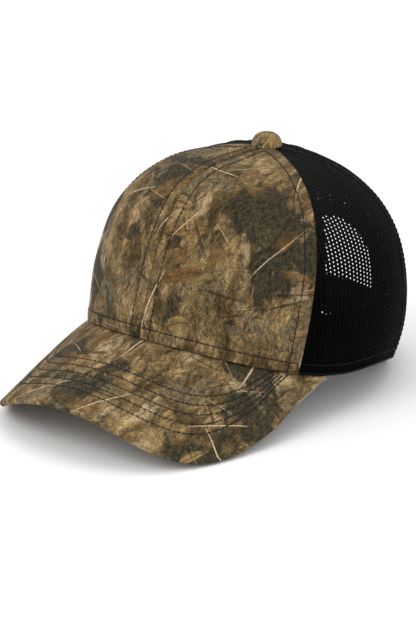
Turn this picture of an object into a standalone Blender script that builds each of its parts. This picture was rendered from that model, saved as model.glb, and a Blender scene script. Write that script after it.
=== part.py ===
"""A trucker cap: two stiffened cloth front panels, four mesh panels, a curved visor and a snap closure.

Metres, +Z up, visor towards -Y, so the wearer's left is +X. The cap stands on z = 0 on its visor's edges
and the back of its hem, and the origin is under the middle of its box. Angles round the crown count from
the middle of the front (0) through the wearer's left (90) to the middle of the back (180).
"""

from functools import lru_cache
from math import cos, degrees, pi, radians, sin

import bmesh
import bpy
import numpy as np
from mathutils import Vector

# Crown
CROWN_HEIGHT = 0.1307  # apex above the table
HALF_LENGTH = 0.1014  # hem ellipse, front to back
HALF_WIDTH = 0.0855  # hem ellipse, side to side
CROWN_Y = 0.035603  # middle of the hem ellipse
APEX_LEAN = 0.0131  # the apex lies this far behind the middle
BLEND_POWER = 3.0  # how narrow the front's share of the shape is
PLAN_POWER = {"front": 6.0, "side": 1.94, "back": 1.9}  # how square each meridian's shoulder is
RISE_POWER = {"front": 1.8, "side": 3.68, "back": 1.97}  # how steeply each meridian starts
TUCK = 0.085  # share by which the hem is drawn in at table height
TUCK_LOW = 0.0031  # height at which it is drawn in by that share
TUCK_SPAN = 0.040  # height over which the drawing-in fades out

# Hem height above the table: flat behind, rising to the sides, arched over the visor
HEM_RISE = 0.04064
HEM_RISE_POWER = 4.5
HEM_FLAT_FROM = 140.0
HEM_TRIM = 0.0008  # the hem behind is made this much longer, then cut level with the table
HEM_ARCH = 0.02357
HEM_ARCH_ANGLE = 82.2

# Seams, as degrees round the crown
FRONT_SEAM = (53.1, 11.9, -4.2)  # at the hem, then its drift with the share of the way up
BACK_SEAM = 118.0
SEAM_GAP = 0.0003
PANEL_TOP = 0.97  # panels end this share of the way to the apex

# Layers, as depths inside the crown's outer face
CLOTH = 0.0008
MESH = 0.0016
BUCKRAM_DEPTH = 0.0013
BUCKRAM = 0.0008
BUCKRAM_SPAN = (0.02, 0.93)  # shares of the way up
BUCKRAM_MARGIN = 0.002  # between its sides and the seams
TAPE_DEPTH = 0.0026
TAPE = 0.0006
TAPE_WIDTH = 0.018
TAPE_FOOT = 0.02  # tapes run between these shares of the way up
TAPE_TOP = 0.87
BACK_TAPE_FOOT = 0.53  # the tape behind starts above the opening
BAND_DEPTH = 0.0038
BAND = 0.0014
BAND_HEIGHT = 0.034
BAND_END = 154.0  # angle where the band stops, short of the opening
LABEL_START = -148.0
LABEL_SPAN = 12.0  # degrees
LABEL_FOOT = 0.010
LABEL_HEIGHT = 0.018
LABEL = 0.0004
LABEL_GAP = 0.0005  # between the label and the sweatband

# Back opening and its binding
ARCH_HALF = 0.0260
ARCH_LEG = 0.040
ARCH_TOP = 0.073
BINDING_WIDTH = 0.008
BINDING = 0.0006
LEAF_GAP = 0.0009  # between the mesh and the inner leaf
ARCH_CLEARANCE = 0.0004  # between the mesh's edge and the binding's fold
FOOT_GAP = 0.0008  # the binding and the sweatband stop this far above the table

# Visor: a sheet bent round a line that slopes down from the hem
VISOR_PITCH = 15.6
VISOR_BEND = 0.0981
VISOR_TIGHTENING = -2.6  # relative change of the bend's radius for each metre forward
VISOR_LENGTH = 0.0693
VISOR_HALF = 0.0933  # half its width, measured over the bend
VISOR_ROOT = -0.0315  # where its outline is widest, behind the middle of the hem
VISOR_SIDE_POWER = 2.88
VISOR_NOSE_POWER = 3.19
VISOR_END = 66.0  # angle round the hem where its corners end
VISOR_TAPER_FROM = 84.0  # outline angle from which a corner runs back to the hem
VISOR_TAIL = 0.0045  # width of the corners' ends
VISOR_TAPER_POWER = 1.6
VISOR_UNDERLAP = 0.0020  # how far it reaches in under the hem
VISOR_CLEARANCE = 0.0004  # between it and the hem
VISOR_SETTLING = 0.014  # length over which it leaves the hem's height for its own bend
COVER = 0.0007
BOARD = 0.0016
COVER_GAP = 0.0004  # between the board and each cover
COVER_LIP = 0.0013  # how far the board and the lining stay inside the outer edge
LAYER_GAP = 0.0003

# Button
BUTTON_RADIUS = 0.0086
BUTTON_HEIGHT = 0.0076
BUTTON_COVER = 0.0008
BUTTON_SHELL = 0.0005
SHANK_RADIUS = 0.0016
SHANK_TOP = 0.0045
WASHER_RADIUS = 0.0075
WASHER_TOP = -0.0027
WASHER_FOOT = -0.0036

# Straps
STRAP_RADIUS = 0.076
STRAP_BACK = 0.0905  # outer face of the outer strap, behind the middle of the crown
STRAP_THICKNESS = 0.0011
STRAP_FOOT = 0.0095
STRAP_TOP = 0.0335
STRAP_MIDDLE = (STRAP_FOOT + STRAP_TOP) / 2
STRAP_PIVOT = 19.8  # degrees round the strap's own circle
STRAP_TIP = 17.6
ANCHOR_END = 27.5
TIP_ROUNDING = 0.0075
PEG_COUNT = 5
PEG_PITCH = 0.0082
PEG_RADIUS = 0.0019
PEG_HEIGHT = 0.0022
HOLE_RADIUS = 0.0024



def clear_scene():
    for item in list(bpy.data.objects):
        bpy.data.objects.remove(item)


def make_material(name, colour, roughness, metallic=0.0):
    material = bpy.data.materials.new(name)
    material.use_nodes = True
    shader = material.node_tree.nodes["Principled BSDF"]
    shader.inputs["Base Color"].default_value = (*colour, 1.0)
    shader.inputs["Roughness"].default_value = roughness
    shader.inputs["Metallic"].default_value = metallic
    return material


def add_object(name, shape, material, origin=(0.0, 0.0, 0.0)):
    """An object from a bmesh in world coordinates, with its origin at the given point."""
    bmesh.ops.translate(shape, verts=shape.verts, vec=-Vector(origin))
    mesh = bpy.data.meshes.new(name)
    shape.to_mesh(mesh)
    shape.free()
    mesh.materials.append(material)
    mesh.shade_smooth()
    mesh.set_sharp_from_angle(angle=radians(40.0))
    item = bpy.data.objects.new(name, mesh)
    item.location = origin
    bpy.context.scene.collection.objects.link(item)
    return item


def thicken(item, thickness):
    solidify = item.modifiers.new("Thickness", "SOLIDIFY")
    solidify.thickness = thickness
    solidify.offset = -1.0
    solidify.use_even_offset = True


def cut(item, cutter):
    boolean = item.modifiers.new("Cut " + cutter.name, "BOOLEAN")
    boolean.operation = "DIFFERENCE"
    boolean.solver = "EXACT"
    boolean.object = cutter


def make_cutter(name, shape):
    cutter = add_object(name, shape, bpy.data.materials["cutter"])
    cutter.hide_render = True
    cutter.display_type = "WIRE"
    return cutter


def sheet(name, place, columns, rows, thickness, material, origin=(0.0, 0.0, 0.0)):
    """A grid laid by place(v, w), v counter-clockwise round the cap and w upwards, thickened inwards."""
    shape = bmesh.new()
    bmesh.ops.create_grid(shape, x_segments=columns, y_segments=rows, size=0.5)
    for vertex in shape.verts:
        vertex.co = place(vertex.co.x + 0.5, vertex.co.y + 0.5)
    item = add_object(name, shape, material, origin)
    thicken(item, thickness)
    return item


# The crown's outer face


def hem_height(angle):
    flat = (1 - cos(radians(HEM_FLAT_FROM))) / 2
    here = (1 - cos(radians(angle))) / 2
    rise = HEM_RISE * (flat**HEM_RISE_POWER - here**HEM_RISE_POWER)
    turn = min(abs((angle + 180) % 360 - 180) / HEM_ARCH_ANGLE, 1.0)
    return max(-HEM_TRIM, rise + HEM_ARCH * cos(turn * pi / 2) ** 2)


def blended(powers, angle):
    front = max(cos(radians(angle)), 0.0) ** BLEND_POWER
    back = max(-cos(radians(angle)), 0.0) ** 2
    return powers["front"] * front + powers["back"] * back + powers["side"] * (1 - front - back)


@lru_cache(maxsize=None)
def meridian(angle):
    """Points up the outer face at this angle, hem to apex, each one's share of the way, and the length."""
    across, along = sin(radians(angle)), -cos(radians(angle))
    reach = 1 / np.hypot(across / HALF_WIDTH, along / HALF_LENGTH)
    climb = (1 - (1 - np.linspace(0, 1, 500)) ** 3) * pi / 2
    radius = reach * np.clip(np.cos(climb), 0, 1) ** (2 / blended(PLAN_POWER, angle))
    share = np.sin(climb) ** (2 / blended(RISE_POWER, angle))
    low = hem_height(angle)
    z = low + (CROWN_HEIGHT - low) * share
    radius = radius * (1 - TUCK * np.clip(1 - (z - TUCK_LOW) / TUCK_SPAN, 0, 2) ** 2)
    points = np.stack([radius * across, CROWN_Y + APEX_LEAN * share + radius * along, z], axis=1)
    steps = np.concatenate([[0.0], np.cumsum(np.linalg.norm(np.diff(points, axis=0), axis=1))])
    return points, steps / steps[-1], steps[-1]


def on_face(angle, up):
    points, share, _ = meridian(round(angle, 5))
    return Vector([np.interp(up, share, points[:, axis]) for axis in range(3)])


def crown(angle, up, depth=0.0):
    """The point at this angle and share of the way up, that far inside the outer face."""
    across = on_face(angle + 0.5, up) - on_face(angle - 0.5, up)
    climb = on_face(angle, min(up + 0.006, 1.0)) - on_face(angle, max(up - 0.006, 0.0))
    return on_face(angle, up) - across.cross(climb).normalized() * depth


def share_up(angle, height):
    """The share of the way up that is this far from the hem, measured over the face."""
    return height / meridian(round(angle, 5))[2]


def back_face(x, z, depth):
    """The point of the crown's back at this x and z, that far inside the outer face."""
    near, far = 95.0, 180.0
    for _ in range(24):
        angle = (near + far) / 2
        points, share, _ = meridian(round(angle, 5))
        if np.interp(z, points[:, 2], points[:, 0]) > abs(x):
            near = angle
        else:
            far = angle
    up = float(np.interp(z, points[:, 2], share))
    return crown(angle if x >= 0 else 360 - angle, up, depth)


def front_seam(up):
    start, drift, bend = FRONT_SEAM
    return start + drift * up + bend * up * up


# Crown pieces


def crown_panel(name, start, end, depth, thickness, columns, rows, low, high, margin, material):
    """A panel between two seams, each given as its angle at a share of the way up."""

    def place(v, w):
        up = low + (high - low) * w
        first, last = start(up), end(up)
        trim = margin / (on_face(last, up) - on_face(first, up)).length
        return crown(first + (last - first) * (trim + (1 - 2 * trim) * v), up, depth)

    return sheet(name, place, columns, rows, thickness, material)


def front_panels(cloth, stiffener):
    sides = {
        "left": (lambda up: 0.0, front_seam),
        "right": (lambda up: -front_seam(up), lambda up: 0.0),
    }
    for side, (start, end) in sides.items():
        crown_panel(
            "front_panel_" + side, start, end, 0.0, CLOTH, 9, 12, 0.0, PANEL_TOP, SEAM_GAP, cloth
        )
        low, high = BUCKRAM_SPAN
        crown_panel(
            "buckram_" + side,
            start,
            end,
            BUCKRAM_DEPTH,
            BUCKRAM,
            9,
            12,
            low,
            high,
            BUCKRAM_MARGIN,
            stiffener,
        )


def mesh_panels(mesh):
    sides = {
        "side_left": (front_seam, lambda up: BACK_SEAM),
        "side_right": (lambda up: -BACK_SEAM, lambda up: -front_seam(up)),
        "back_left": (lambda up: BACK_SEAM, lambda up: 180.0),
        "back_right": (lambda up: -180.0, lambda up: -BACK_SEAM),
    }
    panels = {}
    for side, (start, end) in sides.items():
        panels[side] = crown_panel(
            "mesh_" + side, start, end, 0.0, MESH, 9, 12, 0.0, PANEL_TOP, SEAM_GAP, mesh
        )
    return panels


def seam_tape(name, seam, low, material):
    """A tape that backs one seam, half its width to each side."""

    def place(v, w):
        up = low + (TAPE_TOP - low) * w
        middle = seam(up)
        degree = (on_face(middle + 0.5, up) - on_face(middle - 0.5, up)).length
        return crown(middle + (v - 0.5) * TAPE_WIDTH / degree, up, TAPE_DEPTH)

    sheet(name, place, 2, 11, TAPE, material)


def seam_tapes(material):
    seam_tape("seam_tape_front", lambda up: 0.0, TAPE_FOOT, material)
    seam_tape("seam_tape_side_left", front_seam, TAPE_FOOT, material)
    seam_tape("seam_tape_side_right", lambda up: -front_seam(up), TAPE_FOOT, material)
    seam_tape("seam_tape_back_left", lambda up: BACK_SEAM, TAPE_FOOT, material)
    seam_tape("seam_tape_back_right", lambda up: -BACK_SEAM, TAPE_FOOT, material)
    seam_tape("seam_tape_back", lambda up: 180.0, BACK_TAPE_FOOT, material)


def sweatband(material):
    def place(v, w):
        angle = BAND_END * (2 * v - 1)
        height = FOOT_GAP + (BAND_HEIGHT - FOOT_GAP) * w
        return crown(angle, share_up(angle, height), BAND_DEPTH)

    sheet("sweatband", place, 48, 3, BAND, material)


def care_label(material):
    def place(v, w):
        angle = LABEL_START + LABEL_SPAN * v
        up = share_up(angle, LABEL_FOOT + LABEL_HEIGHT * w)
        return crown(angle, up, BAND_DEPTH + BAND + LABEL_GAP)

    sheet("care_label", place, 2, 2, LABEL, material)


# Back opening


def arch_outline(share, outset):
    """A point of the opening's outline, from the wearer's right foot over the top to the left foot."""
    half, top = ARCH_HALF + outset, ARCH_TOP + outset
    if share < 0.25:
        return -half, ARCH_LEG * share / 0.25
    if share > 0.75:
        return half, ARCH_LEG * (1 - share) / 0.25
    turn = pi * (share - 0.25) / 0.5
    return -half * cos(turn), ARCH_LEG + (top - ARCH_LEG) * sin(turn)


def arch_cutter():
    """A prism along Y with the opening's outline, a little outside the binding's fold."""
    outset = BINDING + ARCH_CLEARANCE
    outline = [arch_outline(i / 40, outset) for i in range(41)]
    foot = -0.01
    outline = [(outline[0][0], foot)] + outline + [(outline[-1][0], foot)]
    shape = bmesh.new()
    corners = [shape.verts.new((x, CROWN_Y + 0.02, z)) for x, z in outline]
    face = shape.faces.new(corners)
    grown = bmesh.ops.extrude_face_region(shape, geom=[face])
    moved = [part for part in grown["geom"] if isinstance(part, bmesh.types.BMVert)]
    bmesh.ops.translate(shape, verts=moved, vec=(0.0, 0.12, 0.0))
    bmesh.ops.recalc_face_normals(shape, faces=shape.faces)
    return make_cutter("arch_cutter", shape)


def table_cutter():
    """A block below the table, which leaves a level foot on the hem behind."""
    shape = bmesh.new()
    bmesh.ops.create_cube(shape, size=1.0)
    bmesh.ops.scale(shape, verts=shape.verts, vec=(0.20, 0.12, 0.01))
    bmesh.ops.translate(shape, verts=shape.verts, vec=(0.0, 0.09, -0.005))
    return make_cutter("table_cutter", shape)


def arch_binding(material):
    """A folded tape over the opening's edge: outer leaf, fold, inner leaf."""
    outer, inner = -(BINDING + LAYER_GAP), MESH + LEAF_GAP + BINDING
    section = [(BINDING_WIDTH, outer), (0.0, outer), (0.0, inner), (BINDING_WIDTH, inner)]

    def place(v, w):
        outset, depth = section[round(3 * w)]
        x, z = arch_outline(v, outset)
        return back_face(x, max(z, FOOT_GAP), depth)

    sheet("arch_binding", place, 28, 3, BINDING, material)


# Visor


def visor_surface(s, t, depth):
    """s over the bend, t forward from the hem, depth below the visor's upper face."""
    root = on_face(0.0, 0.0)
    forward = Vector((0.0, -cos(radians(VISOR_PITCH)), -sin(radians(VISOR_PITCH))))
    normal = Vector((0.0, -sin(radians(VISOR_PITCH)), cos(radians(VISOR_PITCH))))
    bend = VISOR_BEND * (1 + VISOR_TIGHTENING * t)
    turn = s / bend
    level = Vector((1.0, 0.0, 0.0)) * sin(turn) + normal * cos(turn)
    return root + forward * t - normal * bend + level * (bend - depth)


def visor_coordinates(x, y):
    """The s and t of the visor's surface point over this x and y."""
    s, t = x, 0.0
    for _ in range(12):
        bend = VISOR_BEND * (1 + VISOR_TIGHTENING * t)
        s = bend * float(np.arcsin(np.clip(x / bend, -1, 1)))
        sink = bend * (1 - cos(s / bend)) * sin(radians(VISOR_PITCH))
        t = (on_face(0.0, 0.0).y - y + sink) / cos(radians(VISOR_PITCH))
    return s, t


def visor_seat(v):
    """The point under the hem where the visor starts, v from the wearer's right corner to the left one."""
    hem = on_face(VISOR_END * (2 * v - 1), 0.0)
    inward = Vector((-hem.x, CROWN_Y - hem.y, 0.0)).normalized()
    return hem + inward * VISOR_UNDERLAP


@lru_cache(maxsize=None)
def visor_rim(v):
    """The outline's s and t: a squarish oval whose corners run back to the hem."""
    angle = 90.0 * (2 * v - 1)
    side, nose = sin(radians(angle)), cos(radians(angle))
    s = VISOR_HALF * np.sign(side) * abs(side) ** (2 / VISOR_SIDE_POWER)
    t = VISOR_ROOT + (VISOR_LENGTH - VISOR_ROOT) * max(nose, 0.0) ** (2 / VISOR_NOSE_POWER)
    corner = min(max((abs(angle) - VISOR_TAPER_FROM) / (90.0 - VISOR_TAPER_FROM), 0.0), 1.0)
    seat = visor_seat(v)
    tail = np.array(visor_coordinates(seat.x, seat.y)) + np.array([np.sign(angle), 0.4]) * VISOR_TAIL
    return np.array([s, t]) + (tail - np.array([s, t])) * corner**VISOR_TAPER_POWER


def visor_point(v, w, depth, inset):
    """w from under the hem to the outer edge, or to a line set in from that edge."""
    seat = visor_seat(v)
    root = np.array(visor_coordinates(seat.x, seat.y))
    ahead = visor_rim(min(v + 0.01, 1.0)) - visor_rim(max(v - 0.01, 0.0))
    inward = np.array([ahead[1], -ahead[0]]) / np.linalg.norm(ahead)
    rim = visor_rim(v) + inward * inset
    here = root + (rim - root) * w
    settle = seat.z - VISOR_CLEARANCE - visor_surface(*root, 0.0).z
    fade = np.exp(-np.linalg.norm(here - root) / VISOR_SETTLING)
    return visor_surface(*here, depth) + Vector((0.0, 0.0, settle * fade))


def visor(cloth, under_cloth, plastic):
    board_depth = COVER + COVER_GAP
    under_depth = board_depth + BOARD + COVER_GAP
    lip = under_depth + COVER

    def top(v, w):
        rows = 7
        row = round(w * rows)
        if row == 0:
            return visor_point(v, 1.0, lip, 0.0)
        return visor_point(v, 1 - (row - 1) / (rows - 1), 0.0, 0.0)

    sheet("visor_top_cover", top, 28, 7, COVER, cloth)
    sheet(
        "visor_board",
        lambda v, w: visor_point(v, 1 - w, board_depth, COVER_LIP),
        28,
        6,
        BOARD,
        plastic,
    )
    sheet(
        "visor_under_cover",
        lambda v, w: visor_point(v, 1 - w, under_depth, COVER_LIP),
        28,
        6,
        COVER,
        under_cloth,
    )


# Button


def turned(name, profile, steps, material):
    """A body turned about the apex's vertical axis from (radius, height) points above the apex."""
    axis = Vector((0.0, CROWN_Y + APEX_LEAN, CROWN_HEIGHT))
    shape = bmesh.new()
    points = [shape.verts.new(axis + Vector((radius, 0.0, height))) for radius, height in profile]
    edges = [shape.edges.new(pair) for pair in zip(points, points[1:])]
    if profile[0][0] > 0:
        edges.append(shape.edges.new((points[-1], points[0])))
    bmesh.ops.spin(
        shape, geom=points + edges, axis=(0, 0, 1), cent=axis, angle=2 * pi, steps=steps, use_merge=True
    )
    bmesh.ops.remove_doubles(shape, verts=shape.verts, dist=1e-6)
    bmesh.ops.recalc_face_normals(shape, faces=shape.faces)
    return add_object(name, shape, material)


def dome(radius, height, foot, thickness):
    """Profile of a cup that opens downwards: down its outside and back up its inside."""
    turns = [radians(90.0 * i / 7) for i in range(8)]
    outside = [(radius * cos(a) ** 0.75, foot + height * sin(a) ** 0.95) for a in reversed(turns)]
    inner, low = radius - thickness, height - thickness
    inside = [(inner * cos(a) ** 0.75, foot + low * sin(a) ** 0.95) for a in turns]
    outside[0] = (0.0, foot + height)
    inside[-1] = (0.0, foot + low)
    return outside + inside


def button(cloth, metal):
    turned("button_cover", dome(BUTTON_RADIUS, BUTTON_HEIGHT, LAYER_GAP, BUTTON_COVER), 24, cloth)
    inset = BUTTON_COVER + LAYER_GAP
    shell = dome(BUTTON_RADIUS - inset, BUTTON_HEIGHT - inset, LAYER_GAP, BUTTON_SHELL)
    turned("button_shell", shell, 24, metal)
    rivet = [(0.0, SHANK_TOP), (SHANK_RADIUS, SHANK_TOP), (SHANK_RADIUS, WASHER_TOP)]
    rivet += [(WASHER_RADIUS, WASHER_TOP), (WASHER_RADIUS, WASHER_FOOT), (0.0, WASHER_FOOT)]
    turned("button_rivet", rivet, 20, metal)


# Straps


def strap_point(radius, angle, z):
    """A point on an upright cylinder about the straps' shared centre, angles from the middle of the back."""
    middle = CROWN_Y + STRAP_BACK - STRAP_RADIUS
    return Vector((radius * sin(radians(angle)), middle + radius * cos(radians(angle)), z))


def strap_blank(name, radius, root, tip, material, origin):
    """A strap from its root to its round tip. Angles may run either way."""

    def place(v, w):
        angle = max(root, tip) + (min(root, tip) - max(root, tip)) * v
        to_tip = abs(angle - tip) * radians(1.0) * radius
        off = max(TIP_ROUNDING - to_tip, 0.0) / TIP_ROUNDING
        half = (STRAP_TOP - STRAP_FOOT) / 2
        half *= 0.3 + 0.7 * (1 - off * off) ** 0.5
        return strap_point(radius, angle, STRAP_MIDDLE + half * (2 * w - 1))

    return sheet(name, place, 18, 2, STRAP_THICKNESS, material, origin)


def anchor_plate(name, radius, root, end, material):
    """The sewn end of a strap, fixed inside the binding."""

    def place(v, w):
        low, high = sorted((root, end))
        return strap_point(radius, high + (low - high) * v, STRAP_FOOT + (STRAP_TOP - STRAP_FOOT) * w)

    sheet(name, place, 3, 1, STRAP_THICKNESS, material)


def studs(radius, low, high, base, tip):
    """Round studs along the straps, from one height above this radius to another, as one bmesh."""
    shape = bmesh.new()
    for i in range(PEG_COUNT):
        angle = degrees((i - (PEG_COUNT - 1) / 2) * PEG_PITCH / STRAP_RADIUS)
        outward = (strap_point(1.0, angle, 0.0) - strap_point(0.0, angle, 0.0)).normalized()
        turn = outward.to_track_quat("Z", "Y").to_matrix().to_4x4()
        turn.translation = strap_point(radius + (low + high) / 2, angle, STRAP_MIDDLE)
        bmesh.ops.create_cone(
            shape, cap_ends=True, segments=14, radius1=base, radius2=tip, depth=high - low, matrix=turn
        )
    return shape


def straps(plastic):
    peg_face = STRAP_RADIUS - STRAP_THICKNESS - LAYER_GAP
    gap = degrees(LAYER_GAP / STRAP_RADIUS)
    socket_pivot = strap_point(STRAP_RADIUS, STRAP_PIVOT, 0.0)
    socket = strap_blank(
        "socket_strap", STRAP_RADIUS, STRAP_PIVOT, -STRAP_TIP, plastic, socket_pivot
    )
    holes = studs(STRAP_RADIUS, -2 * STRAP_THICKNESS, STRAP_THICKNESS, HOLE_RADIUS, HOLE_RADIUS)
    cut(socket, make_cutter("hole_cutter", holes))
    anchor_plate("socket_anchor", STRAP_RADIUS, STRAP_PIVOT + gap, ANCHOR_END, plastic)

    peg_pivot = strap_point(peg_face - STRAP_THICKNESS, -STRAP_PIVOT, 0.0)
    pegs = strap_blank("peg_strap", peg_face, -STRAP_PIVOT, STRAP_TIP, plastic, peg_pivot)
    sunk = STRAP_THICKNESS / 2
    peg_shape = studs(peg_face, -sunk, PEG_HEIGHT, PEG_RADIUS, PEG_RADIUS / 2)
    union = pegs.modifiers.new("Pegs", "BOOLEAN")
    union.operation = "UNION"
    union.solver = "EXACT"
    union.object = make_cutter("peg_tool", peg_shape)
    anchor_plate("peg_anchor", peg_face, -STRAP_PIVOT - gap, -ANCHOR_END, plastic)


def main():
    clear_scene()
    make_material("cutter", (0.8, 0.2, 0.2), 0.5)
    cloth = make_material("printed_twill", (0.19, 0.14, 0.085), 0.9)
    mesh = make_material("black_mesh", (0.012, 0.012, 0.013), 0.7)
    tape = make_material("black_tape", (0.014, 0.014, 0.016), 0.85)
    stiffener = make_material("buckram", (0.55, 0.54, 0.50), 0.95)
    band = make_material("sweatband_cloth", (0.02, 0.02, 0.022), 0.9)
    label = make_material("label_cloth", (0.75, 0.75, 0.73), 0.8)
    plastic = make_material("strap_plastic", (0.015, 0.015, 0.016), 0.45)
    board = make_material("board_plastic", (0.7, 0.7, 0.68), 0.6)
    metal = make_material("button_metal", (0.55, 0.55, 0.56), 0.35, 1.0)

    front_panels(cloth, stiffener)
    panels = mesh_panels(mesh)
    opening, table = arch_cutter(), table_cutter()
    for side in ("back_left", "back_right"):
        cut(panels[side], opening)
        cut(panels[side], table)
    seam_tapes(tape)
    arch_binding(tape)
    sweatband(band)
    care_label(label)
    visor(cloth, cloth, board)
    button(cloth, metal)
    straps(plastic)


main()
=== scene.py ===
"""The looks of a trucker cap: printed twill front, knitted black mesh, tapes, bands and straps.

Metres, +Z up, visor towards -Y, so the wearer's left is +X. Angles round the crown count from
the middle of the front (0) through the wearer's left (90) to the middle of the back (180).
Depths count inwards from the crown's outer face, and reliefs count outwards from it.
"""

from math import cos, pi, radians, sin

import bpy
import numpy as np
from mathutils import Matrix, Vector


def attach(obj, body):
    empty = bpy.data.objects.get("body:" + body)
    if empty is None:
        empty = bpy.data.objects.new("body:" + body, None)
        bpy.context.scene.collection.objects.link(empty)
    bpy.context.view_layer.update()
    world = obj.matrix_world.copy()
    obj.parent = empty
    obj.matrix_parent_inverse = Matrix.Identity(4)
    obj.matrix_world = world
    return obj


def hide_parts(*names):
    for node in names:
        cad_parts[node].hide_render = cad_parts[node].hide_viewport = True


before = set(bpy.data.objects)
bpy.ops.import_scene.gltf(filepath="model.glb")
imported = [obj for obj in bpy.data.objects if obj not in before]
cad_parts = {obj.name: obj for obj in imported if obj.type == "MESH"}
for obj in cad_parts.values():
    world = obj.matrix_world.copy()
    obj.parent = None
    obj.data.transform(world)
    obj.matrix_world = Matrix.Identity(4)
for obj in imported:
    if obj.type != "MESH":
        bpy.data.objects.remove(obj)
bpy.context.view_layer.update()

MM = 0.001

# The crown's face, as the frame has it
CROWN_HEIGHT = 0.1307
HALF_LENGTH = 0.1014
HALF_WIDTH = 0.0855
CROWN_Y = 0.035603
APEX_LEAN = 0.0131
BLEND_POWER = 3.0
PLAN_POWER = (6.0, 1.94, 1.9)
RISE_POWER = (1.8, 3.68, 1.97)
TUCK = 0.085
TUCK_LOW = 0.0031
TUCK_SPAN = 0.040
HEM_RISE = 0.04064
HEM_RISE_POWER = 4.5
HEM_FLAT_FROM = 140.0
HEM_TRIM = 0.0008
HEM_ARCH = 0.02357
HEM_ARCH_ANGLE = 82.2
HEM_END = 161.5
FRONT_SEAM = (53.1, 11.9, -4.2)
BACK_SEAM = 118.0
PANEL_TOP = 0.97
SEWN_TOP = 0.93
CLOTH = 0.0008
BUCKRAM_DEPTH = 0.0013
BUCKRAM = 0.0008
TAPE_DEPTH = 0.0026
TAPE = 0.0006
TAPE_WIDTH = 0.018
TAPE_LENGTH = 0.14
TAPE_TOP = 0.87
TAPE_LOW = 0.02
TAPE_STITCH = 0.0017
BACK_TAPE_LOW = 0.53
BAND_DEPTH = 0.0038
BAND = 0.0014
BAND_HEIGHT = 0.034
BAND_END = 154.0
BAND_STITCH = 0.0042
LABEL_ANGLES = (-148.0, -136.0)
LABEL_LOW = 0.010
LABEL_TALL = 0.018
BAND_DROP = 0.0023
BAND_DROP_FADE = 50.0
BAND_DROP_REACH = 0.012
ARCH_HALF = 0.0260
ARCH_LEG = 0.040
ARCH_TOP = 0.073
ARCH_FROM = 130.0
ARCH_ROUND = 0.19
BINDING_WIDTH = 0.008
BINDING = 0.0006
BINDING_INNER = 0.0031
BINDING_STITCH = 0.0016
BINDING_LAP = 0.001
FOOT_GAP = 0.0008

# The visor, as the frame has it
VISOR_PITCH = 15.6
VISOR_BEND = 0.0981
VISOR_TIGHTENING = -2.6
VISOR_LENGTH = 0.0693
VISOR_HALF = 0.0933
VISOR_ROOT = -0.0315
VISOR_SIDE_POWER = 2.88
VISOR_NOSE_POWER = 3.19
VISOR_END = 66.0
VISOR_TAPER_FROM = 84.0
VISOR_TAIL = 0.0045
VISOR_UNDERLAP = 0.0020
VISOR_CLEARANCE = 0.0004
VISOR_SETTLING = 0.014
VISOR_THICKNESS = 0.0038
VISOR_CREASE = 0.00028
VISOR_CREASE_REACH = 0.0034
COVER = 0.0007
COVER_TUCK = 0.0012
LINING_INSET = 0.0030

# Sewing
STITCH = 0.0029
THREAD = 0.00033
CENTRE_STITCH = 0.0063
EDGE_STITCH = 0.0066
EDGE_FOLD = 0.00045
HEM_STITCH = 0.0060
MESH_STITCH = 0.0048
VISOR_ROW_INSET = 0.01581
VISOR_ROW_PITCH = 0.00651
VISOR_ROWS = 5
VISOR_ROW_SPREAD = 0.35  # share of the pitch by which each row is narrower at its sides

# Knitted mesh
HOLE_ACROSS = 0.0028
HOLE_UP = 0.0022
MESH_FOOT = 0.0006
HOLE_HALF = (0.00041, 0.00048)

# Camera
AZIMUTH = 35.244
ELEVATION = 18.316
ROLL = 1.836
FOCAL_PIXELS = 2274.86
PICTURE_HEIGHT = 624
DISTANCE = 1.3
TARGET = Vector((0.0, 0.035603, 0.0631))
AIM_RIGHT = -0.02372
AIM_UP = -0.02722

# Studio
WORLD_LIGHT = 0.92
KEY_LIGHT = 9.0
FILL_LIGHT = 2.0
TOP_LIGHT = 5.0
FLOOR_HALF = 8.0


# The crown's face as a table


def smooth(low, high, value):
    share = np.clip((value - low) / (high - low), 0, 1)
    return share * share * (3 - 2 * share)


def unit(vectors):
    return vectors / np.linalg.norm(vectors, axis=-1, keepdims=True)


def steps_along(points):
    """How far along a line of points each of them lies."""
    return np.concatenate([[0], np.cumsum(np.linalg.norm(np.diff(points, axis=0), axis=1))])


def side_name(side):
    return "left" if side > 0 else "right"


def hem_height(angle):
    flat = (1 - cos(radians(HEM_FLAT_FROM))) / 2
    here = (1 - np.cos(np.radians(angle))) / 2
    rise = HEM_RISE * (flat**HEM_RISE_POWER - here**HEM_RISE_POWER)
    turn = np.minimum(np.abs((angle + 180) % 360 - 180) / HEM_ARCH_ANGLE, 1)
    return np.maximum(-HEM_TRIM, rise + HEM_ARCH * np.cos(turn * pi / 2) ** 2)


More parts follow.
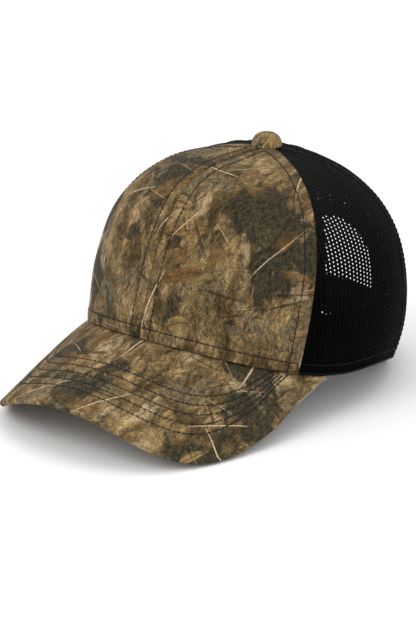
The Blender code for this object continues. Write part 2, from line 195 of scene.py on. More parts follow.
class Crown:
    """The outer face as a table of points, with angle and share of the way up as coordinates."""

    step = 0.5
    low = -182.0
    ups = 240

    def __init__(self):
        angles = np.arange(self.low, -self.low + self.step / 2, self.step)
        turn = np.radians(angles)
        front, back = np.maximum(np.cos(turn), 0) ** BLEND_POWER, np.maximum(-np.cos(turn), 0) ** 2
        shares = np.stack([front, 1 - front - back, back], axis=1)
        plan, rise = ((shares @ np.array(power))[:, None] for power in (PLAN_POWER, RISE_POWER))
        across, along = np.sin(turn)[:, None], -np.cos(turn)[:, None]
        reach = 1 / np.hypot(across / HALF_WIDTH, along / HALF_LENGTH)
        climb = ((1 - (1 - np.linspace(0, 1, 500)) ** 3) * pi / 2)[None]
        radius = reach * np.clip(np.cos(climb), 0, 1) ** (2 / plan)
        share = np.sin(climb) ** (2 / rise)
        low = hem_height(angles)[:, None]
        z = low + (CROWN_HEIGHT - low) * share
        radius = radius * (1 - TUCK * np.clip(1 - (z - TUCK_LOW) / TUCK_SPAN, 0, 2) ** 2)
        points = np.stack(
            [radius * across, CROWN_Y + APEX_LEAN * share + radius * along, z], axis=-1
        )
        steps = np.linalg.norm(np.diff(points, axis=1), axis=2)
        travel = np.concatenate([np.zeros((len(angles), 1)), np.cumsum(steps, axis=1)], axis=1)
        self.length = travel[:, -1]
        self.angles = angles
        up = np.linspace(0, 1, self.ups + 1)
        rows = [
            [np.interp(up, go / go[-1], line[:, axis]) for axis in range(3)]
            for go, line in zip(travel, points)
        ]
        self.points = np.moveaxis(np.array(rows), 1, 2)
        sideways = np.linalg.norm(np.diff(self.points, axis=0), axis=2)
        self.sideways = np.concatenate([np.zeros((1, self.ups + 1)), np.cumsum(sideways, axis=0)])

    def look_up(self, table, angle, up):
        angle, up = np.broadcast_arrays(np.asarray(angle, float), np.asarray(up, float))
        column = np.clip((angle - self.low) / self.step, 0, len(self.angles) - 1.001)
        row = np.clip(up, 0, 1) * self.ups
        i, j = column.astype(int), np.minimum(row.astype(int), self.ups - 1)
        f, g = column - i, row - j
        if table.ndim == 3:
            f, g = f[..., None], g[..., None]
        low = table[i, j] * (1 - f) + table[i + 1, j] * f
        high = table[i, j + 1] * (1 - f) + table[i + 1, j + 1] * f
        return low * (1 - g) + high * g

    def face(self, angle, up):
        return self.look_up(self.points, angle, up)

    def normal(self, angle, up):
        across = self.face(angle + 0.5, up) - self.face(angle - 0.5, up)
        above, below = np.minimum(up + 0.006, 1), np.maximum(up - 0.006, 0)
        climb = self.face(angle, above) - self.face(angle, below)
        return unit(np.cross(across, climb))

    def point(self, angle, up, depth=0.0):
        angle, up, depth = np.broadcast_arrays(angle, up, depth)
        return self.face(angle, up) - self.normal(angle, up) * depth[..., None]

    def across(self, start, end, up):
        """The distance round the face from one angle to another at this share of the way up."""
        return self.look_up(self.sideways, end, up) - self.look_up(self.sideways, start, up)

    def angle_at(self, start, distance, up):
        """The angle that is this far round the face from the start angle."""
        start, distance, up = np.broadcast_arrays(
            *(np.asarray(x, float) for x in (start, distance, up))
        )
        start = np.where((start > 179) & (distance > 0.001), start - 360, start)
        angle = start.copy()
        for _ in range(8):
            pace = self.across(angle - 0.5, angle + 0.5, up)
            angle = np.clip(angle + (distance - self.across(start, angle, up)) / pace, -181, 181)
        return angle

    def rise(self, angle, up):
        """The distance up the face from the hem."""
        return np.interp(angle, self.angles, self.length) * up

    def at_height(self, angle, height):
        return height / np.interp(angle, self.angles, self.length)

    def behind(self, x, z):
        """The angle and the share of the way up of the back's point with this x and z."""
        side, x = np.sign(x) + (x == 0), np.abs(x)
        near, far = np.full(x.shape, 95.0), np.full(x.shape, 181.5)
        for _ in range(26):
            angle = (near + far) / 2
            low, high = np.zeros(x.shape), np.full(x.shape, 0.9)
            for _ in range(18):
                up = (low + high) / 2
                below = self.face(angle, up)[..., 2] < z
                low, high = np.where(below, up, low), np.where(below, high, up)
            outside = self.face(angle, up)[..., 0] > x
            near, far = np.where(outside, angle, near), np.where(outside, far, angle)
        return angle * side, up


CROWN = Crown()


def front_seam(up):
    start, drift, bend = FRONT_SEAM
    return start + drift * up + bend * up * up


# Making meshes


def make_object(name, points, polygons, material, uv=None):
    """A mesh object from points and arrays of polygons, one row of corners to each polygon."""
    points = np.asarray(points, np.float64).reshape(-1, 3)
    fans = [block[:, [0, i, i + 1]] for block in polygons for i in range(1, block.shape[1] - 1)]
    corners = points[np.concatenate(fans)]
    if np.einsum("ij,ij->", corners[:, 0], np.cross(corners[:, 1], corners[:, 2])) < 0:
        polygons = [block[:, ::-1] for block in polygons]
    sizes = np.concatenate([np.full(len(block), block.shape[1]) for block in polygons])
    corners = np.concatenate([block.ravel() for block in polygons]).astype(np.int32)
    mesh = bpy.data.meshes.new(name)
    mesh.vertices.add(len(points))
    mesh.vertices.foreach_set("co", points.astype(np.float32).ravel())
    mesh.loops.add(len(corners))
    mesh.loops.foreach_set("vertex_index", corners)
    mesh.polygons.add(len(sizes))
    mesh.polygons.foreach_set("loop_start", (np.cumsum(sizes) - sizes).astype(np.int32))
    mesh.update(calc_edges=True)
    if uv is not None:
        layer = mesh.uv_layers.new(name="cloth")
        layer.data.foreach_set("uv", np.asarray(uv, np.float32).reshape(-1, 2)[corners].ravel())
    mesh.shade_smooth()
    mesh.materials.append(material)
    item = bpy.data.objects.new(name, mesh)
    bpy.context.scene.collection.objects.link(item)
    return item


def place(item, slot, *nodes):
    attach(item, "crown")
    if nodes:
        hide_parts(*nodes)
    return item


def grid_faces(rows, columns):
    index = np.arange(rows * columns).reshape(rows, columns)
    corners = [index[:-1, :-1], index[:-1, 1:], index[1:, 1:], index[1:, :-1]]
    return np.stack(corners, axis=-1).reshape(-1, 4)


def closed_sheet(name, outer, inner, material, uv):
    """A closed sheet between two grids of points, laid out alike."""
    rows, columns = outer.shape[:2]
    count = rows * columns
    index = np.arange(count).reshape(rows, columns)
    front = grid_faces(rows, columns)
    rim = np.concatenate([index[0, :-1], index[:-1, -1], index[-1, :0:-1], index[:0:-1, 0]])
    after = np.roll(rim, -1)
    wall = np.stack([rim, rim + count, after + count, after], axis=-1)
    points = np.concatenate([outer.reshape(-1, 3), inner.reshape(-1, 3)])
    uv = np.concatenate([uv.reshape(-1, 2)] * 2)
    return make_object(name, points, [front, front[:, ::-1] + count, wall], material, uv)


def tube_faces(count, around, base=0):
    """The sides and the two ends of a tube of so many rings, each a loop of points."""
    index = base + np.arange(count * around).reshape(count, around)
    after = np.roll(index, -1, axis=1)
    sides = np.stack([index[:-1], after[:-1], after[1:], index[1:]], axis=-1).reshape(-1, 4)
    return sides, np.stack([index[0, ::-1], index[-1]])


def looped_strip(name, rings, material, uv):
    """A closed tube through rings of points."""
    return make_object(name, rings, tube_faces(*rings.shape[:2]), material, uv)


def divided(length, step, *marks):
    """Shares from 0 to 1 about a step apart, closer at both ends and at the marks, in metres."""
    near = np.array([0.1, 0.2, 0.35, 0.55, 0.8, 1.2, 1.7]) * MM
    shares = [np.linspace(0, 1, max(2, round(length / step) + 1)), near / length, 1 - near / length]
    shares += [np.array([mark - 0.5 * MM, mark, mark + 0.5 * MM]) / length for mark in marks]
    shares = np.unique(np.clip(np.concatenate(shares), 0, 1))
    return shares[np.concatenate([[True], np.diff(shares) > 0.00004 / length])]


def cloth_uv(across, along):
    """A piece's flat coordinates, 1 for each 100 mm."""
    return np.stack(np.broadcast_arrays(across, along), axis=-1) * 10


def pinch(distance, radius):
    """How far a rounded edge has drawn back at this distance from it."""
    return radius * (1 - np.sqrt(1 - (1 - np.clip(distance / radius, 0, 1)) ** 2))


def ripple(s, t, seed, wavelength, height, count=7):
    """A gentle unevenness: a sum of waves in seeded directions."""
    numbers = np.random.default_rng(seed)
    total = np.zeros(np.broadcast(s, t).shape)
    for _ in range(count):
        turn, phase, size = numbers.uniform(0, 2 * pi, 2).tolist() + [numbers.uniform(0.6, 1.6)]
        along = s * cos(turn) + t * sin(turn)
        total = total + np.sin(along * 2 * pi / (wavelength * size) + phase)
    return total * height / count**0.5


def groove(distance, depth=0.00034, width=0.00065):
    return -depth * np.exp(-((distance / width) ** 2))


def puckers(along, distance, height=0.00009, width=0.0022):
    """Small swellings beside a stitch row, one per stitch."""
    return height * np.cos(along * 2 * pi / STITCH) * np.exp(-((distance / width) ** 2))


def thread(name, paths, material):
    """Rows of stitches along paths, each (points, outward normals), diving between stitches."""
    shape = np.array([0.0, 0.05, 0.14, 0.3, 0.5, 0.7, 0.86, 0.95])
    around = np.arange(6)[:, None] * 2 * pi / 6
    all_points, all_sides, all_ends, base = [], [], [], 0
    for points, normals in paths:
        steps = steps_along(points)
        count = max(1, int(steps[-1] / STITCH))
        share = np.concatenate([(np.arange(count)[:, None] + shape).ravel(), [count]]) / count
        at = share * steps[-1]
        line = np.stack([np.interp(at, steps, points[:, k]) for k in range(3)], axis=1)
        out = unit(np.stack([np.interp(at, steps, normals[:, k]) for k in range(3)], axis=1))
        beat = np.abs(2 * ((share * count) % 1) - 1)
        line = line + out * (THREAD * (0.75 - 3.2 * beat**5))[:, None]
        ahead = unit(np.gradient(line, axis=0))
        aside = unit(np.cross(ahead, out))
        lift = np.cross(aside, ahead)
        ring = aside[:, None] * np.cos(around) + lift[:, None] * 0.85 * np.sin(around)
        sides, ends = tube_faces(len(line), 6, base)
        all_sides.append(sides)
        all_ends.append(ends)
        all_points.append((line[:, None] + THREAD * ring).reshape(-1, 3))
        base += len(line) * 6
    faces = [np.concatenate(all_sides), np.concatenate(all_ends)]
    return place(make_object(name, np.concatenate(all_points), faces, material), "black_tape")


def crown_path(angle, up, depth):
    """A thread's path over the crown, as points and outward normals."""
    angle, up, depth = np.broadcast_arrays(angle, up, depth)
    return CROWN.point(angle, up, depth), CROWN.normal(angle, up)


def lining_path(angle, up, depth):
    """A thread's path over something that faces into the crown."""
    points, normals = crown_path(angle, up, depth)
    return points, -normals


# Materials


class Shader:
    """Builds one material's nodes. Values may be numbers, colours or sockets."""

    def __init__(self, name):
        self.material = bpy.data.materials.new(name)
        self.material.use_nodes = True
        self.tree = self.material.node_tree
        self.surface = self.tree.nodes["Principled BSDF"]

    def feed(self, socket, value):
        if isinstance(value, bpy.types.NodeSocket):
            self.tree.links.new(value, socket)
        elif isinstance(value, tuple) and len(value) == 3 and socket.type == "RGBA":
            socket.default_value = (*value, 1.0)
        else:
            socket.default_value = value

    def node(self, kind, inputs, **settings):
        node = self.tree.nodes.new("ShaderNode" + kind)
        for key, value in settings.items():
            setattr(node, key, value)
        for key, value in inputs.items():
            self.feed(node.inputs[key], value)
        return node

    def math(self, operation, *values):
        return self.node("Math", dict(enumerate(values)), operation=operation).outputs[0]

    def times(self, first, second):
        return self.math("MULTIPLY", first, second)

    def plus(self, first, second):
        return self.math("ADD", first, second)

    def position(self):
        return self.node("NewGeometry", {}).outputs["Position"]

    def vector(self, operation, *values):
        return self.node("VectorMath", dict(enumerate(values)), operation=operation).outputs[0]

    def cloth(self, offset=(0.0, 0.0, 0.0)):
        """The piece's own flat coordinates, 1 for each 100 mm."""
        return self.moved(self.node("UVMap", {}, uv_map="cloth").outputs["UV"], offset)

    def moved(self, vector, offset=(0.0, 0.0, 0.0), scale=(1.0, 1.0, 1.0), turn=0.0):
        inputs = {
            "Vector": vector, "Location": offset, "Rotation": (0.0, 0.0, turn), "Scale": scale
        }
        return self.node("Mapping", inputs).outputs[0]

    def noise(self, vector, scale, detail=4.0, roughness=0.55, output=0):
        inputs = {"Vector": vector, "Scale": scale, "Detail": detail, "Roughness": roughness}
        return self.node("TexNoise", inputs).outputs[output]

    def cells(self, vector, scale, feature="F1"):
        return self.node("TexVoronoi", {"Vector": vector, "Scale": scale}, feature=feature).outputs

    def wave(self, vector, scale, direction="X"):
        inputs = {"Vector": vector, "Scale": scale}
        return self.node("TexWave", inputs, bands_direction=direction).outputs["Fac"]

    def between(self, value, low, high, to_low=0.0, to_high=1.0):
        inputs = {
            "Value": value, "From Min": low, "From Max": high, "To Min": to_low, "To Max": to_high
        }
        return self.node("MapRange", inputs, interpolation_type="SMOOTHSTEP").outputs["Result"]

    def linear(self, value, low, high):
        return self.plus(self.times(value, high - low), low)

    def ramp(self, value, *stops):
        made = self.node("ValToRGB", {"Fac": value})
        ramp = made.color_ramp
        while len(ramp.elements) < len(stops):
            ramp.elements.new(0.5)
        for element, (position, colour) in zip(ramp.elements, stops):
            element.position = position
            element.color = (*colour, 1.0)
        return made.outputs["Color"]

    def mix(self, share, first, second, blend="MIX"):
        made = self.node("Mix", {}, data_type="RGBA", blend_type=blend)
        self.feed(made.inputs[0], share)
        self.feed(made.inputs[6], first)
        self.feed(made.inputs[7], second)
        return made.outputs[2]

    def strokes(self, vector, scale, size, bend, share, seed, lean=0.0, spread=0.5, soft=0.006):
        """Scattered curved blades, one to a cell, turned by lean give or take spread half turns.

        Gives the mask and the offset from the blade's rib.
        """
        moved = self.moved(vector, offset=seed)
        cell = self.cells(moved, scale)
        parts = self.node("SeparateColor", {"Color": cell["Color"]}).outputs
        local = self.vector("SUBTRACT", moved, cell["Position"])
        turn = self.linear(parts[0], lean - pi * spread, lean + pi * spread)
        turned = self.node("VectorRotate", {"Vector": local, "Angle": turn}, rotation_type="Z_AXIS")
        place = self.node("SeparateXYZ", {"Vector": turned.outputs[0]}).outputs
        curl = self.times(self.math("SUBTRACT", parts[1], 0.5), bend)
        arc = self.times(self.times(place[0], place[0]), curl)
        off = self.math("SUBTRACT", place[1], arc)
        length, width = size
        reach = self.times(place[0], 1 / length)
        lens = self.math("SUBTRACT", 1.0, self.times(reach, reach))
        border = self.cells(moved, scale, "DISTANCE_TO_EDGE")["Distance"]
        lens = self.times(lens, self.between(border, 0.0, 0.12))
        body = self.math("SUBTRACT", self.times(lens, width), self.math("ABSOLUTE", off))
        mask = self.between(body, 0.0, soft)
        chosen = self.math("LESS_THAN", parts[2], share)
        return self.times(mask, chosen), off

    def finish(self, colour, roughness, height=None, strength=0.3, distance=0.0004):
        self.feed(self.surface.inputs["Base Color"], colour)
        self.feed(self.surface.inputs["Roughness"], roughness)
        if height is not None:
            inputs = {"Height": height, "Strength": strength, "Distance": distance}
            self.feed(self.surface.inputs["Normal"], self.node("Bump", inputs).outputs[0])
        return self.material

    def set(self, **values):
        for key, value in values.items():
            self.feed(self.surface.inputs[key.replace("_", " ")], value)


# The print's blades: offset, cells to 100 mm, length and width, bend and share of cells. Leaves
# have a bright and a dim colour, and stalks have a lean and a colour.
LEAVES = (
    ((1.3, 5.2, 0.0), 3.1, (0.170, 0.060), 2.0, 0.7, (0.255, 0.155, 0.062), (0.098, 0.064, 0.028)),
    ((8.8, 2.4, 0.0), 4.2, (0.125, 0.040), 3.0, 0.6, (0.340, 0.240, 0.118), (0.140, 0.096, 0.044)),
    ((4.7, 7.9, 0.0), 3.7, (0.140, 0.046), 2.4, 0.5, (0.200, 0.108, 0.040), (0.074, 0.046, 0.020)),
)
STALKS = (
    ((2.8, 6.6, 0.0), 2.3, (0.185, 0.0052), 1.1, 0.60, 0.5, (0.040, 0.030, 0.016)),
    ((7.1, 1.4, 0.0), 3.0, (0.150, 0.0044), 1.6, 0.60, 2.2, (0.048, 0.036, 0.020)),
    ((4.4, 3.3, 0.0), 1.45, (0.340, 0.0080), 0.35, 0.90, 1.1, (0.600, 0.485, 0.320)),
    ((0.9, 7.7, 0.0), 1.9, (0.260, 0.0060), 0.60, 0.80, 1.9, (0.540, 0.430, 0.276)),
    ((6.1, 0.8, 0.0), 2.6, (0.180, 0.0040), 1.10, 0.62, 0.4, (0.430, 0.340, 0.212)),
)


def printed_twill(name, seed, gain=1.0):
    """Twill printed with bark, shaded hollows, dead leaves and dry stalks."""
    make = Shader(name)

    def tone(r, g, b):
        return (r * gain, g * gain, b * gain)

    def layer(under, share, over, amount=1.0):
        return make.mix(make.times(share, amount), under, over)

    def shades(share, low, high, dark, light):
        return make.mix(make.between(share, low, high), tone(*dark), tone(*light))

    def wandering(amount, *noise):
        drift = make.noise(flat, *noise, output="Color")
        drift = make.vector("SUBTRACT", drift, (0.5, 0.5, 0.5))
        return make.vector("ADD", flat, make.vector("MULTIPLY", drift, (*amount, 0.0)))

    flat = make.cloth(offset=seed)
    bent = wandering((0.10, 0.07), 6.0, 4.0, 0.6)
    eased = wandering((0.07, 0.07), 2.2, 1.0)
    upright = make.moved(bent, scale=(1.0, 0.42, 1.0))
    fibre = make.noise(make.moved(bent, (1.9, 6.3, 0.0), (1.0, 0.50, 1.0)), 54.0, 5.0, 0.78)

    # bark, with its fibres
    ground = make.noise(upright, 9.0, 12.0, 0.70)
    colour = make.ramp(
        ground,
        (0.36, tone(0.034, 0.025, 0.012)),
        (0.44, tone(0.078, 0.056, 0.026)),
        (0.51, tone(0.150, 0.108, 0.052)),
        (0.58, tone(0.245, 0.178, 0.090)),
        (0.68, tone(0.370, 0.284, 0.160)),
    )
    streak = (0.37, (0.26, 0.25, 0.22)), (0.50, (1.0, 1.0, 1.0)), (0.64, (1.85, 1.82, 1.72))
    colour = make.mix(0.85, colour, make.ramp(fibre, *streak), "MULTIPLY")
    # pale bark in tall flakes, split by fine cracks
    pale = make.noise(make.moved(bent, (7.3, 4.1, 0.0), (1.0, 0.42, 1.0)), 3.6, 9.0, 0.62)
    pale = make.between(pale, 0.545, 0.605)
    flakes = make.ramp(
        make.noise(upright, 40.0, 6.0, 0.72),
        (0.34, tone(0.090, 0.068, 0.036)),
        (0.46, tone(0.270, 0.206, 0.118)),
        (0.60, tone(0.480, 0.390, 0.258)),
    )
    colour = layer(colour, pale, flakes, 0.82)
    crack = make.moved(bent, (2.2, 9.1, 0.0), (1.0, 0.34, 1.0))
    crack = make.cells(crack, 13.0, "DISTANCE_TO_EDGE")["Distance"]
    crack = make.times(make.between(crack, 0.0, 0.050, 1.0, 0.0), make.between(fibre, 0.42, 0.56))
    colour = layer(colour, crack, tone(0.036, 0.027, 0.014), 0.62)
    # broad dark hollows, ragged at their edges
    hollow = make.noise(make.moved(bent, (3.1, 1.7, 0.0), (1.0, 0.75, 1.0)), 2.3, 9.0, 0.60)
    deep = shades(fibre, 0.40, 0.62, (0.016, 0.015, 0.009), (0.060, 0.052, 0.032))
    colour = layer(colour, make.between(hollow, 0.520, 0.570), deep, 0.95)
    grey = make.noise(make.moved(bent, (5.7, 8.4, 0.0)), 2.9, 8.0, 0.62)
    dull = shades(fibre, 0.38, 0.62, (0.048, 0.041, 0.025), (0.190, 0.155, 0.098))
    colour = layer(colour, make.between(grey, 0.545, 0.60), dull, 0.85)
    # dead leaves in drifts, with ribs and side veins
    heap = make.between(make.noise(make.moved(eased, (9.9, 0.7, 0.0)), 1.7, 3.0), 0.48, 0.58)
    for offset, scale, size, bend, share, bright, dim in LEAVES:
        aside = (offset[0] + 0.008, offset[1] + 0.010, 0.0)
        shadow, _ = make.strokes(eased, scale, size, bend, share, aside, soft=0.016)
        colour = layer(colour, make.times(shadow, heap), tone(0.030, 0.023, 0.012), 0.72)
        mask, off = make.strokes(eased, scale, size, bend, share, offset, soft=0.004)
        mottle = make.noise(bent, 20.0, 7.0, 0.72)
        blade = shades(mottle, 0.36, 0.62, dim, bright)
        from_rib = make.math("ABSOLUTE", off)
        slant = make.plus(make.times(from_rib, 150.0), make.noise(bent, 9.0, 3.0))
        vein = make.times(make.math("SINE", make.times(slant, 9.0)), 0.5)
        blade = layer(blade, make.between(vein, 0.24, 0.5), tone(0.080, 0.050, 0.022), 0.40)
        rib = make.between(from_rib, 0.0012, 0.0042, 1.0, 0.0)
        blade = layer(blade, rib, tone(0.052, 0.034, 0.017), 0.75)
        worn = make.between(fibre, 0.30, 0.44, 0.35, 1.0)
        colour = layer(colour, make.times(make.times(mask, heap), worn), blade, 0.95)
    # dry stalks and dark twigs, each with its shadow
    for offset, scale, size, bend, share, lean, light in STALKS:
        aside = (offset[0] + 0.0062, offset[1] + 0.0058, 0.0)
        wide = (size[0], size[1] * 1.7)
        shadow, _ = make.strokes(eased, scale, wide, bend, share, aside, lean, 0.30)
        colour = layer(colour, shadow, tone(0.034, 0.026, 0.014), 0.62)
        mask, _ = make.strokes(eased, scale, size, bend, share, offset, lean, 0.30, soft=0.0035)
        dry = shades(fibre, 0.36, 0.60, [part * 0.55 for part in light], light)
        colour = layer(colour, mask, dry, 0.92)
    # the print's grain, and its loss over the weave
    grain = make.noise(flat, 135.0, 3.0, 0.78)
    speck = (0.34, (0.42, 0.41, 0.39)), (0.50, (1.0, 1.0, 1.0)), (0.66, (1.70, 1.68, 1.60))
    colour = make.mix(1.0, colour, make.ramp(grain, *speck), "MULTIPLY")
    weave = make.wave(make.moved(flat, turn=0.9), 46.0)
    yarn = make.wave(flat, 38.0, "Y")
    threads = make.plus(make.times(weave, 0.7), make.times(yarn, 0.3))
    shaded = make.between(threads, 0.0, 1.0, 0.80, 1.14)
    shaded = make.node("CombineColor", {0: shaded, 1: shaded, 2: shaded}).outputs[0]
    colour = make.mix(1.0, colour, shaded, "MULTIPLY")
    colour = make.mix(1.0, colour, (1.02, 0.955, 0.86), "MULTIPLY")
    height = make.plus(threads, make.times(grain, 1.2))
    rough = make.between(grain, 0.3, 0.7, 0.80, 0.95)
    make.set(Sheen_Weight=0.03, Sheen_Roughness=0.5, Specular_IOR_Level=0.12)
    return make.finish(colour, rough, height, 0.40, 0.00014)


def spun_thread(name, dark, light):
    """Sewing thread, plied and slightly shiny."""
    make = Shader(name)
    place_in = make.position()
    mottle = make.noise(place_in, 900.0, 3.0, 0.7)
    colour = make.mix(mottle, dark, light)
    make.set(Specular_IOR_Level=0.12)
    return make.finish(colour, make.between(mottle, 0.3, 0.7, 0.42, 0.66), mottle, 0.4, 0.0001)


def woven(name, dark, light, across, along, rough=(0.6, 0.85), strength=0.5, distance=0.0002):
    """Plain-woven cloth, with so many threads to each 100 mm both ways."""
    make = Shader(name)
    flat = make.cloth()
    warp = make.wave(flat, across / 20, "X")
    weft = make.wave(flat, along / 20, "Y")
    slub = make.noise(flat, 40.0, 5.0, 0.7)
    height = make.plus(make.times(warp, weft), make.times(slub, 0.5))
    tone = make.plus(make.times(height, 0.6), make.times(slub, 0.4))
    colour = make.mix(tone, dark, light)
    make.set(Specular_IOR_Level=0.06)
    return make.finish(colour, make.between(slub, 0.3, 0.7, *rough), height, strength, distance)


def knitted_black():
    """The mesh's black polyester: fine filaments with glints, and painted light that turns it
    lighter, flecked grey towards the top.
    """
    make = Shader("knitted_black")
    place_in = make.position()
    fine = make.noise(make.moved(place_in, scale=(1.0, 1.0, 0.35)), 3200.0, 3.0, 0.6)
    lint = make.noise(place_in, 420.0, 4.0, 0.7)
    colour = make.mix(lint, (0.0005, 0.0005, 0.0005), (0.0018, 0.0018, 0.0017))
    # painted light: towards the top the colour turns a lighter, flecked grey, as if lit from above
    high = make.node("SeparateXYZ", {"Vector": place_in}).outputs["Z"]
    painted_top_light = make.mix(fine, (0.0020, 0.0020, 0.0019), (0.0150, 0.0150, 0.0142))
    colour = make.mix(make.between(high, 0.062, 0.130), colour, painted_top_light)
    make.set(Specular_IOR_Level=0.02)
    height = make.plus(fine, make.times(lint, 0.6))
    return make.finish(colour, make.between(lint, 0.3, 0.7, 0.46, 0.68), height, 0.5, 0.00015)


def moulded(name, dark, light, rough, texture=1500.0, metallic=0.0, strength=0.12):
    """Moulded plastic or pressed metal with a fine surface and faint scuffs."""
    make = Shader(name)
    place_in = make.position()
    pebble = make.noise(place_in, texture, 3.0, 0.6)
    scuff = make.noise(make.moved(place_in, scale=(1.0, 1.0, 5.0)), 160.0, 6.0, 0.75)
    colour = make.mix(make.times(scuff, 0.9), dark, light)
    make.set(Metallic=metallic, Specular_IOR_Level=0.45)
    return make.finish(colour, make.between(scuff, 0.3, 0.75, *rough), pebble, strength, 0.0001)


PRINT = printed_twill("printed_twill", (0.35, 0.15, 0.0), 0.97)
# painted light: the visor's upper cover and the button get lighter copies of the same print, where
# they face up to the light
VISOR_PRINT = printed_twill("printed_visor", (1.85, 0.65, 0.0), 1.12)
BUTTON_PRINT = printed_twill("printed_button", (0.10, 0.52, 0.0), 1.50)
DARK_THREAD = spun_thread("dark_thread", (0.0045, 0.0055, 0.0085), (0.024, 0.027, 0.037))
BLACK_THREAD = spun_thread("black_thread", (0.0012, 0.0012, 0.0014), (0.0050, 0.0050, 0.0054))
MESH = knitted_black()
TAPE_CLOTH = woven("black_tape", (0.0016, 0.0016, 0.0018), (0.0075, 0.0075, 0.0078), 160, 90)
BAND_CLOTH = woven("sweatband_twill", (0.0014, 0.0014, 0.0016), (0.0070, 0.0070, 0.0074), 170, 130)
STIFFENER = woven(
    "buckram", (0.34, 0.33, 0.29), (0.66, 0.64, 0.58), 62, 62, strength=0.9, distance=0.0004
)
LABEL_CLOTH = woven(
    "label_satin", (0.52, 0.52, 0.50), (0.78, 0.78, 0.75), 220, 110, rough=(0.4, 0.6)
)
PLASTIC = moulded("strap_plastic", (0.008, 0.008, 0.009), (0.030, 0.030, 0.031), (0.34, 0.62))
BOARD = moulded("board_plastic", (0.62, 0.62, 0.58), (0.74, 0.74, 0.71), (0.45, 0.7), 700.0)
METAL = moulded(
    "button_metal", (0.42, 0.42, 0.43), (0.62, 0.62, 0.63), (0.24, 0.5), 2400.0, metallic=1.0
)


# Front panels


def front_relief(seam, edge, hem, side):
    """How far a front panel stands over the crown: folds, allowances, stitch rows and ripples."""
    relief = -0.0009 * np.exp(-((seam / 0.0009) ** 2))
    relief += 0.00018 * smooth(0.0008, 0.002, seam) * (1 - smooth(0.0052, 0.0070, seam))
    relief += EDGE_FOLD * (1 - smooth(0.0060, 0.0080, edge))
    relief += 0.00022 * (1 - smooth(0.0050, 0.0068, hem))
    rows = ((seam - CENTRE_STITCH, hem), (edge - EDGE_STITCH, hem), (hem - HEM_STITCH, seam))
    for distance, along in rows:
        relief += groove(distance) + puckers(along, distance)
    relief += ripple(seam, hem, 11 + side, 0.034, 0.00020)
    relief += ripple(seam, hem, 17 + side, 0.0075, 0.00005) * np.exp(-(hem / 0.02))
    return relief


def front_panel(side):
    name = side_name(side)
    length, width = 0.150, 0.100
    up = divided(length, 0.00085, HEM_STITCH)[:, None] * PANEL_TOP
    share = divided(width, 0.00075, CENTRE_STITCH, width - EDGE_STITCH)[None]
    lap = 0.0006
    last = CROWN.angle_at(front_seam(up), lap, up)
    start = CROWN.angle_at(0.0, 0.00012, up)
    angle = start + (last - start) * share
    seam, edge = CROWN.across(0.0, angle, up), CROWN.across(angle, last, up)
    hem = CROWN.rise(angle, up)
    relief = front_relief(seam, edge - lap, hem, side)
    near = np.minimum(np.minimum(seam, edge), np.minimum(hem, (PANEL_TOP - up) * length + 0.0001))
    back = pinch(near, CLOTH / 2)
    under = CLOTH - 0.0009 * (1 - smooth(0.0009, 0.0018, edge))
    outer = CROWN.point(angle * side, up, back - relief)
    inner = CROWN.point(angle * side, up, under - back)
    uv = cloth_uv(seam * side, hem) + (0.0 if side > 0 else 2.71)
    item = closed_sheet("front_cloth_" + name, outer, inner, PRINT, uv)
    return place(item, "printed_twill", "front_panel_" + name)


def front_stitching():
    paths = []
    for side in (1, -1):
        up = np.linspace(0.004, SEWN_TOP, 420)
        last = front_seam(up)
        angle = CROWN.angle_at(0.0, CENTRE_STITCH, up)
        seam, edge = np.full(up.shape, CENTRE_STITCH), CROWN.across(angle, last, up)
        relief = front_relief(seam, edge, CROWN.rise(angle, up), side)
        paths.append(crown_path(angle * side, up, -relief))
        angle = CROWN.angle_at(last, -EDGE_STITCH, up)
        seam = CROWN.across(0.0, angle, up)
        relief = front_relief(seam, np.full(up.shape, EDGE_STITCH), CROWN.rise(angle, up), side)
        paths.append(crown_path(angle * side, up, -relief))
        angle = np.linspace(0.3, FRONT_SEAM[0] - 0.4, 300)
        up = CROWN.at_height(angle, HEM_STITCH)
        seam, edge = CROWN.across(0.0, angle, up), CROWN.across(angle, front_seam(up), up)
        relief = front_relief(seam, edge, np.full(up.shape, HEM_STITCH), side)
        paths.append(crown_path(angle * side, up, -relief))
    return thread("front_stitching", paths, DARK_THREAD)


# Visor


def visor_surface(s, t, depth):
    """s over the bend, t forward from the hem, depth below the visor's upper face."""
    root = CROWN.face(0.0, 0.0)
    pitch = radians(VISOR_PITCH)
    forward = np.array([0, -cos(pitch), -sin(pitch)])
    normal = np.array([0, -sin(pitch), cos(pitch)])
    s, t, depth = np.broadcast_arrays(s, t, depth)
    bend = VISOR_BEND * (1 + VISOR_TIGHTENING * t)
    turn = s / bend
    level = np.sin(turn)[..., None] * np.array([1.0, 0, 0]) + np.cos(turn)[..., None] * normal
    axis = root + t[..., None] * forward - bend[..., None] * normal
    return axis + level * (bend - depth)[..., None]


def visor_coordinates(x, y):
    s, t = x, np.zeros(x.shape)
    root = CROWN.face(0.0, 0.0)
    for _ in range(12):
        bend = VISOR_BEND * (1 + VISOR_TIGHTENING * t)
        s = bend * np.arcsin(np.clip(x / bend, -1, 1))
        sink = bend * (1 - np.cos(s / bend)) * sin(radians(VISOR_PITCH))
        t = (root[1] - y + sink) / cos(radians(VISOR_PITCH))
    return np.stack([s, t], axis=-1)


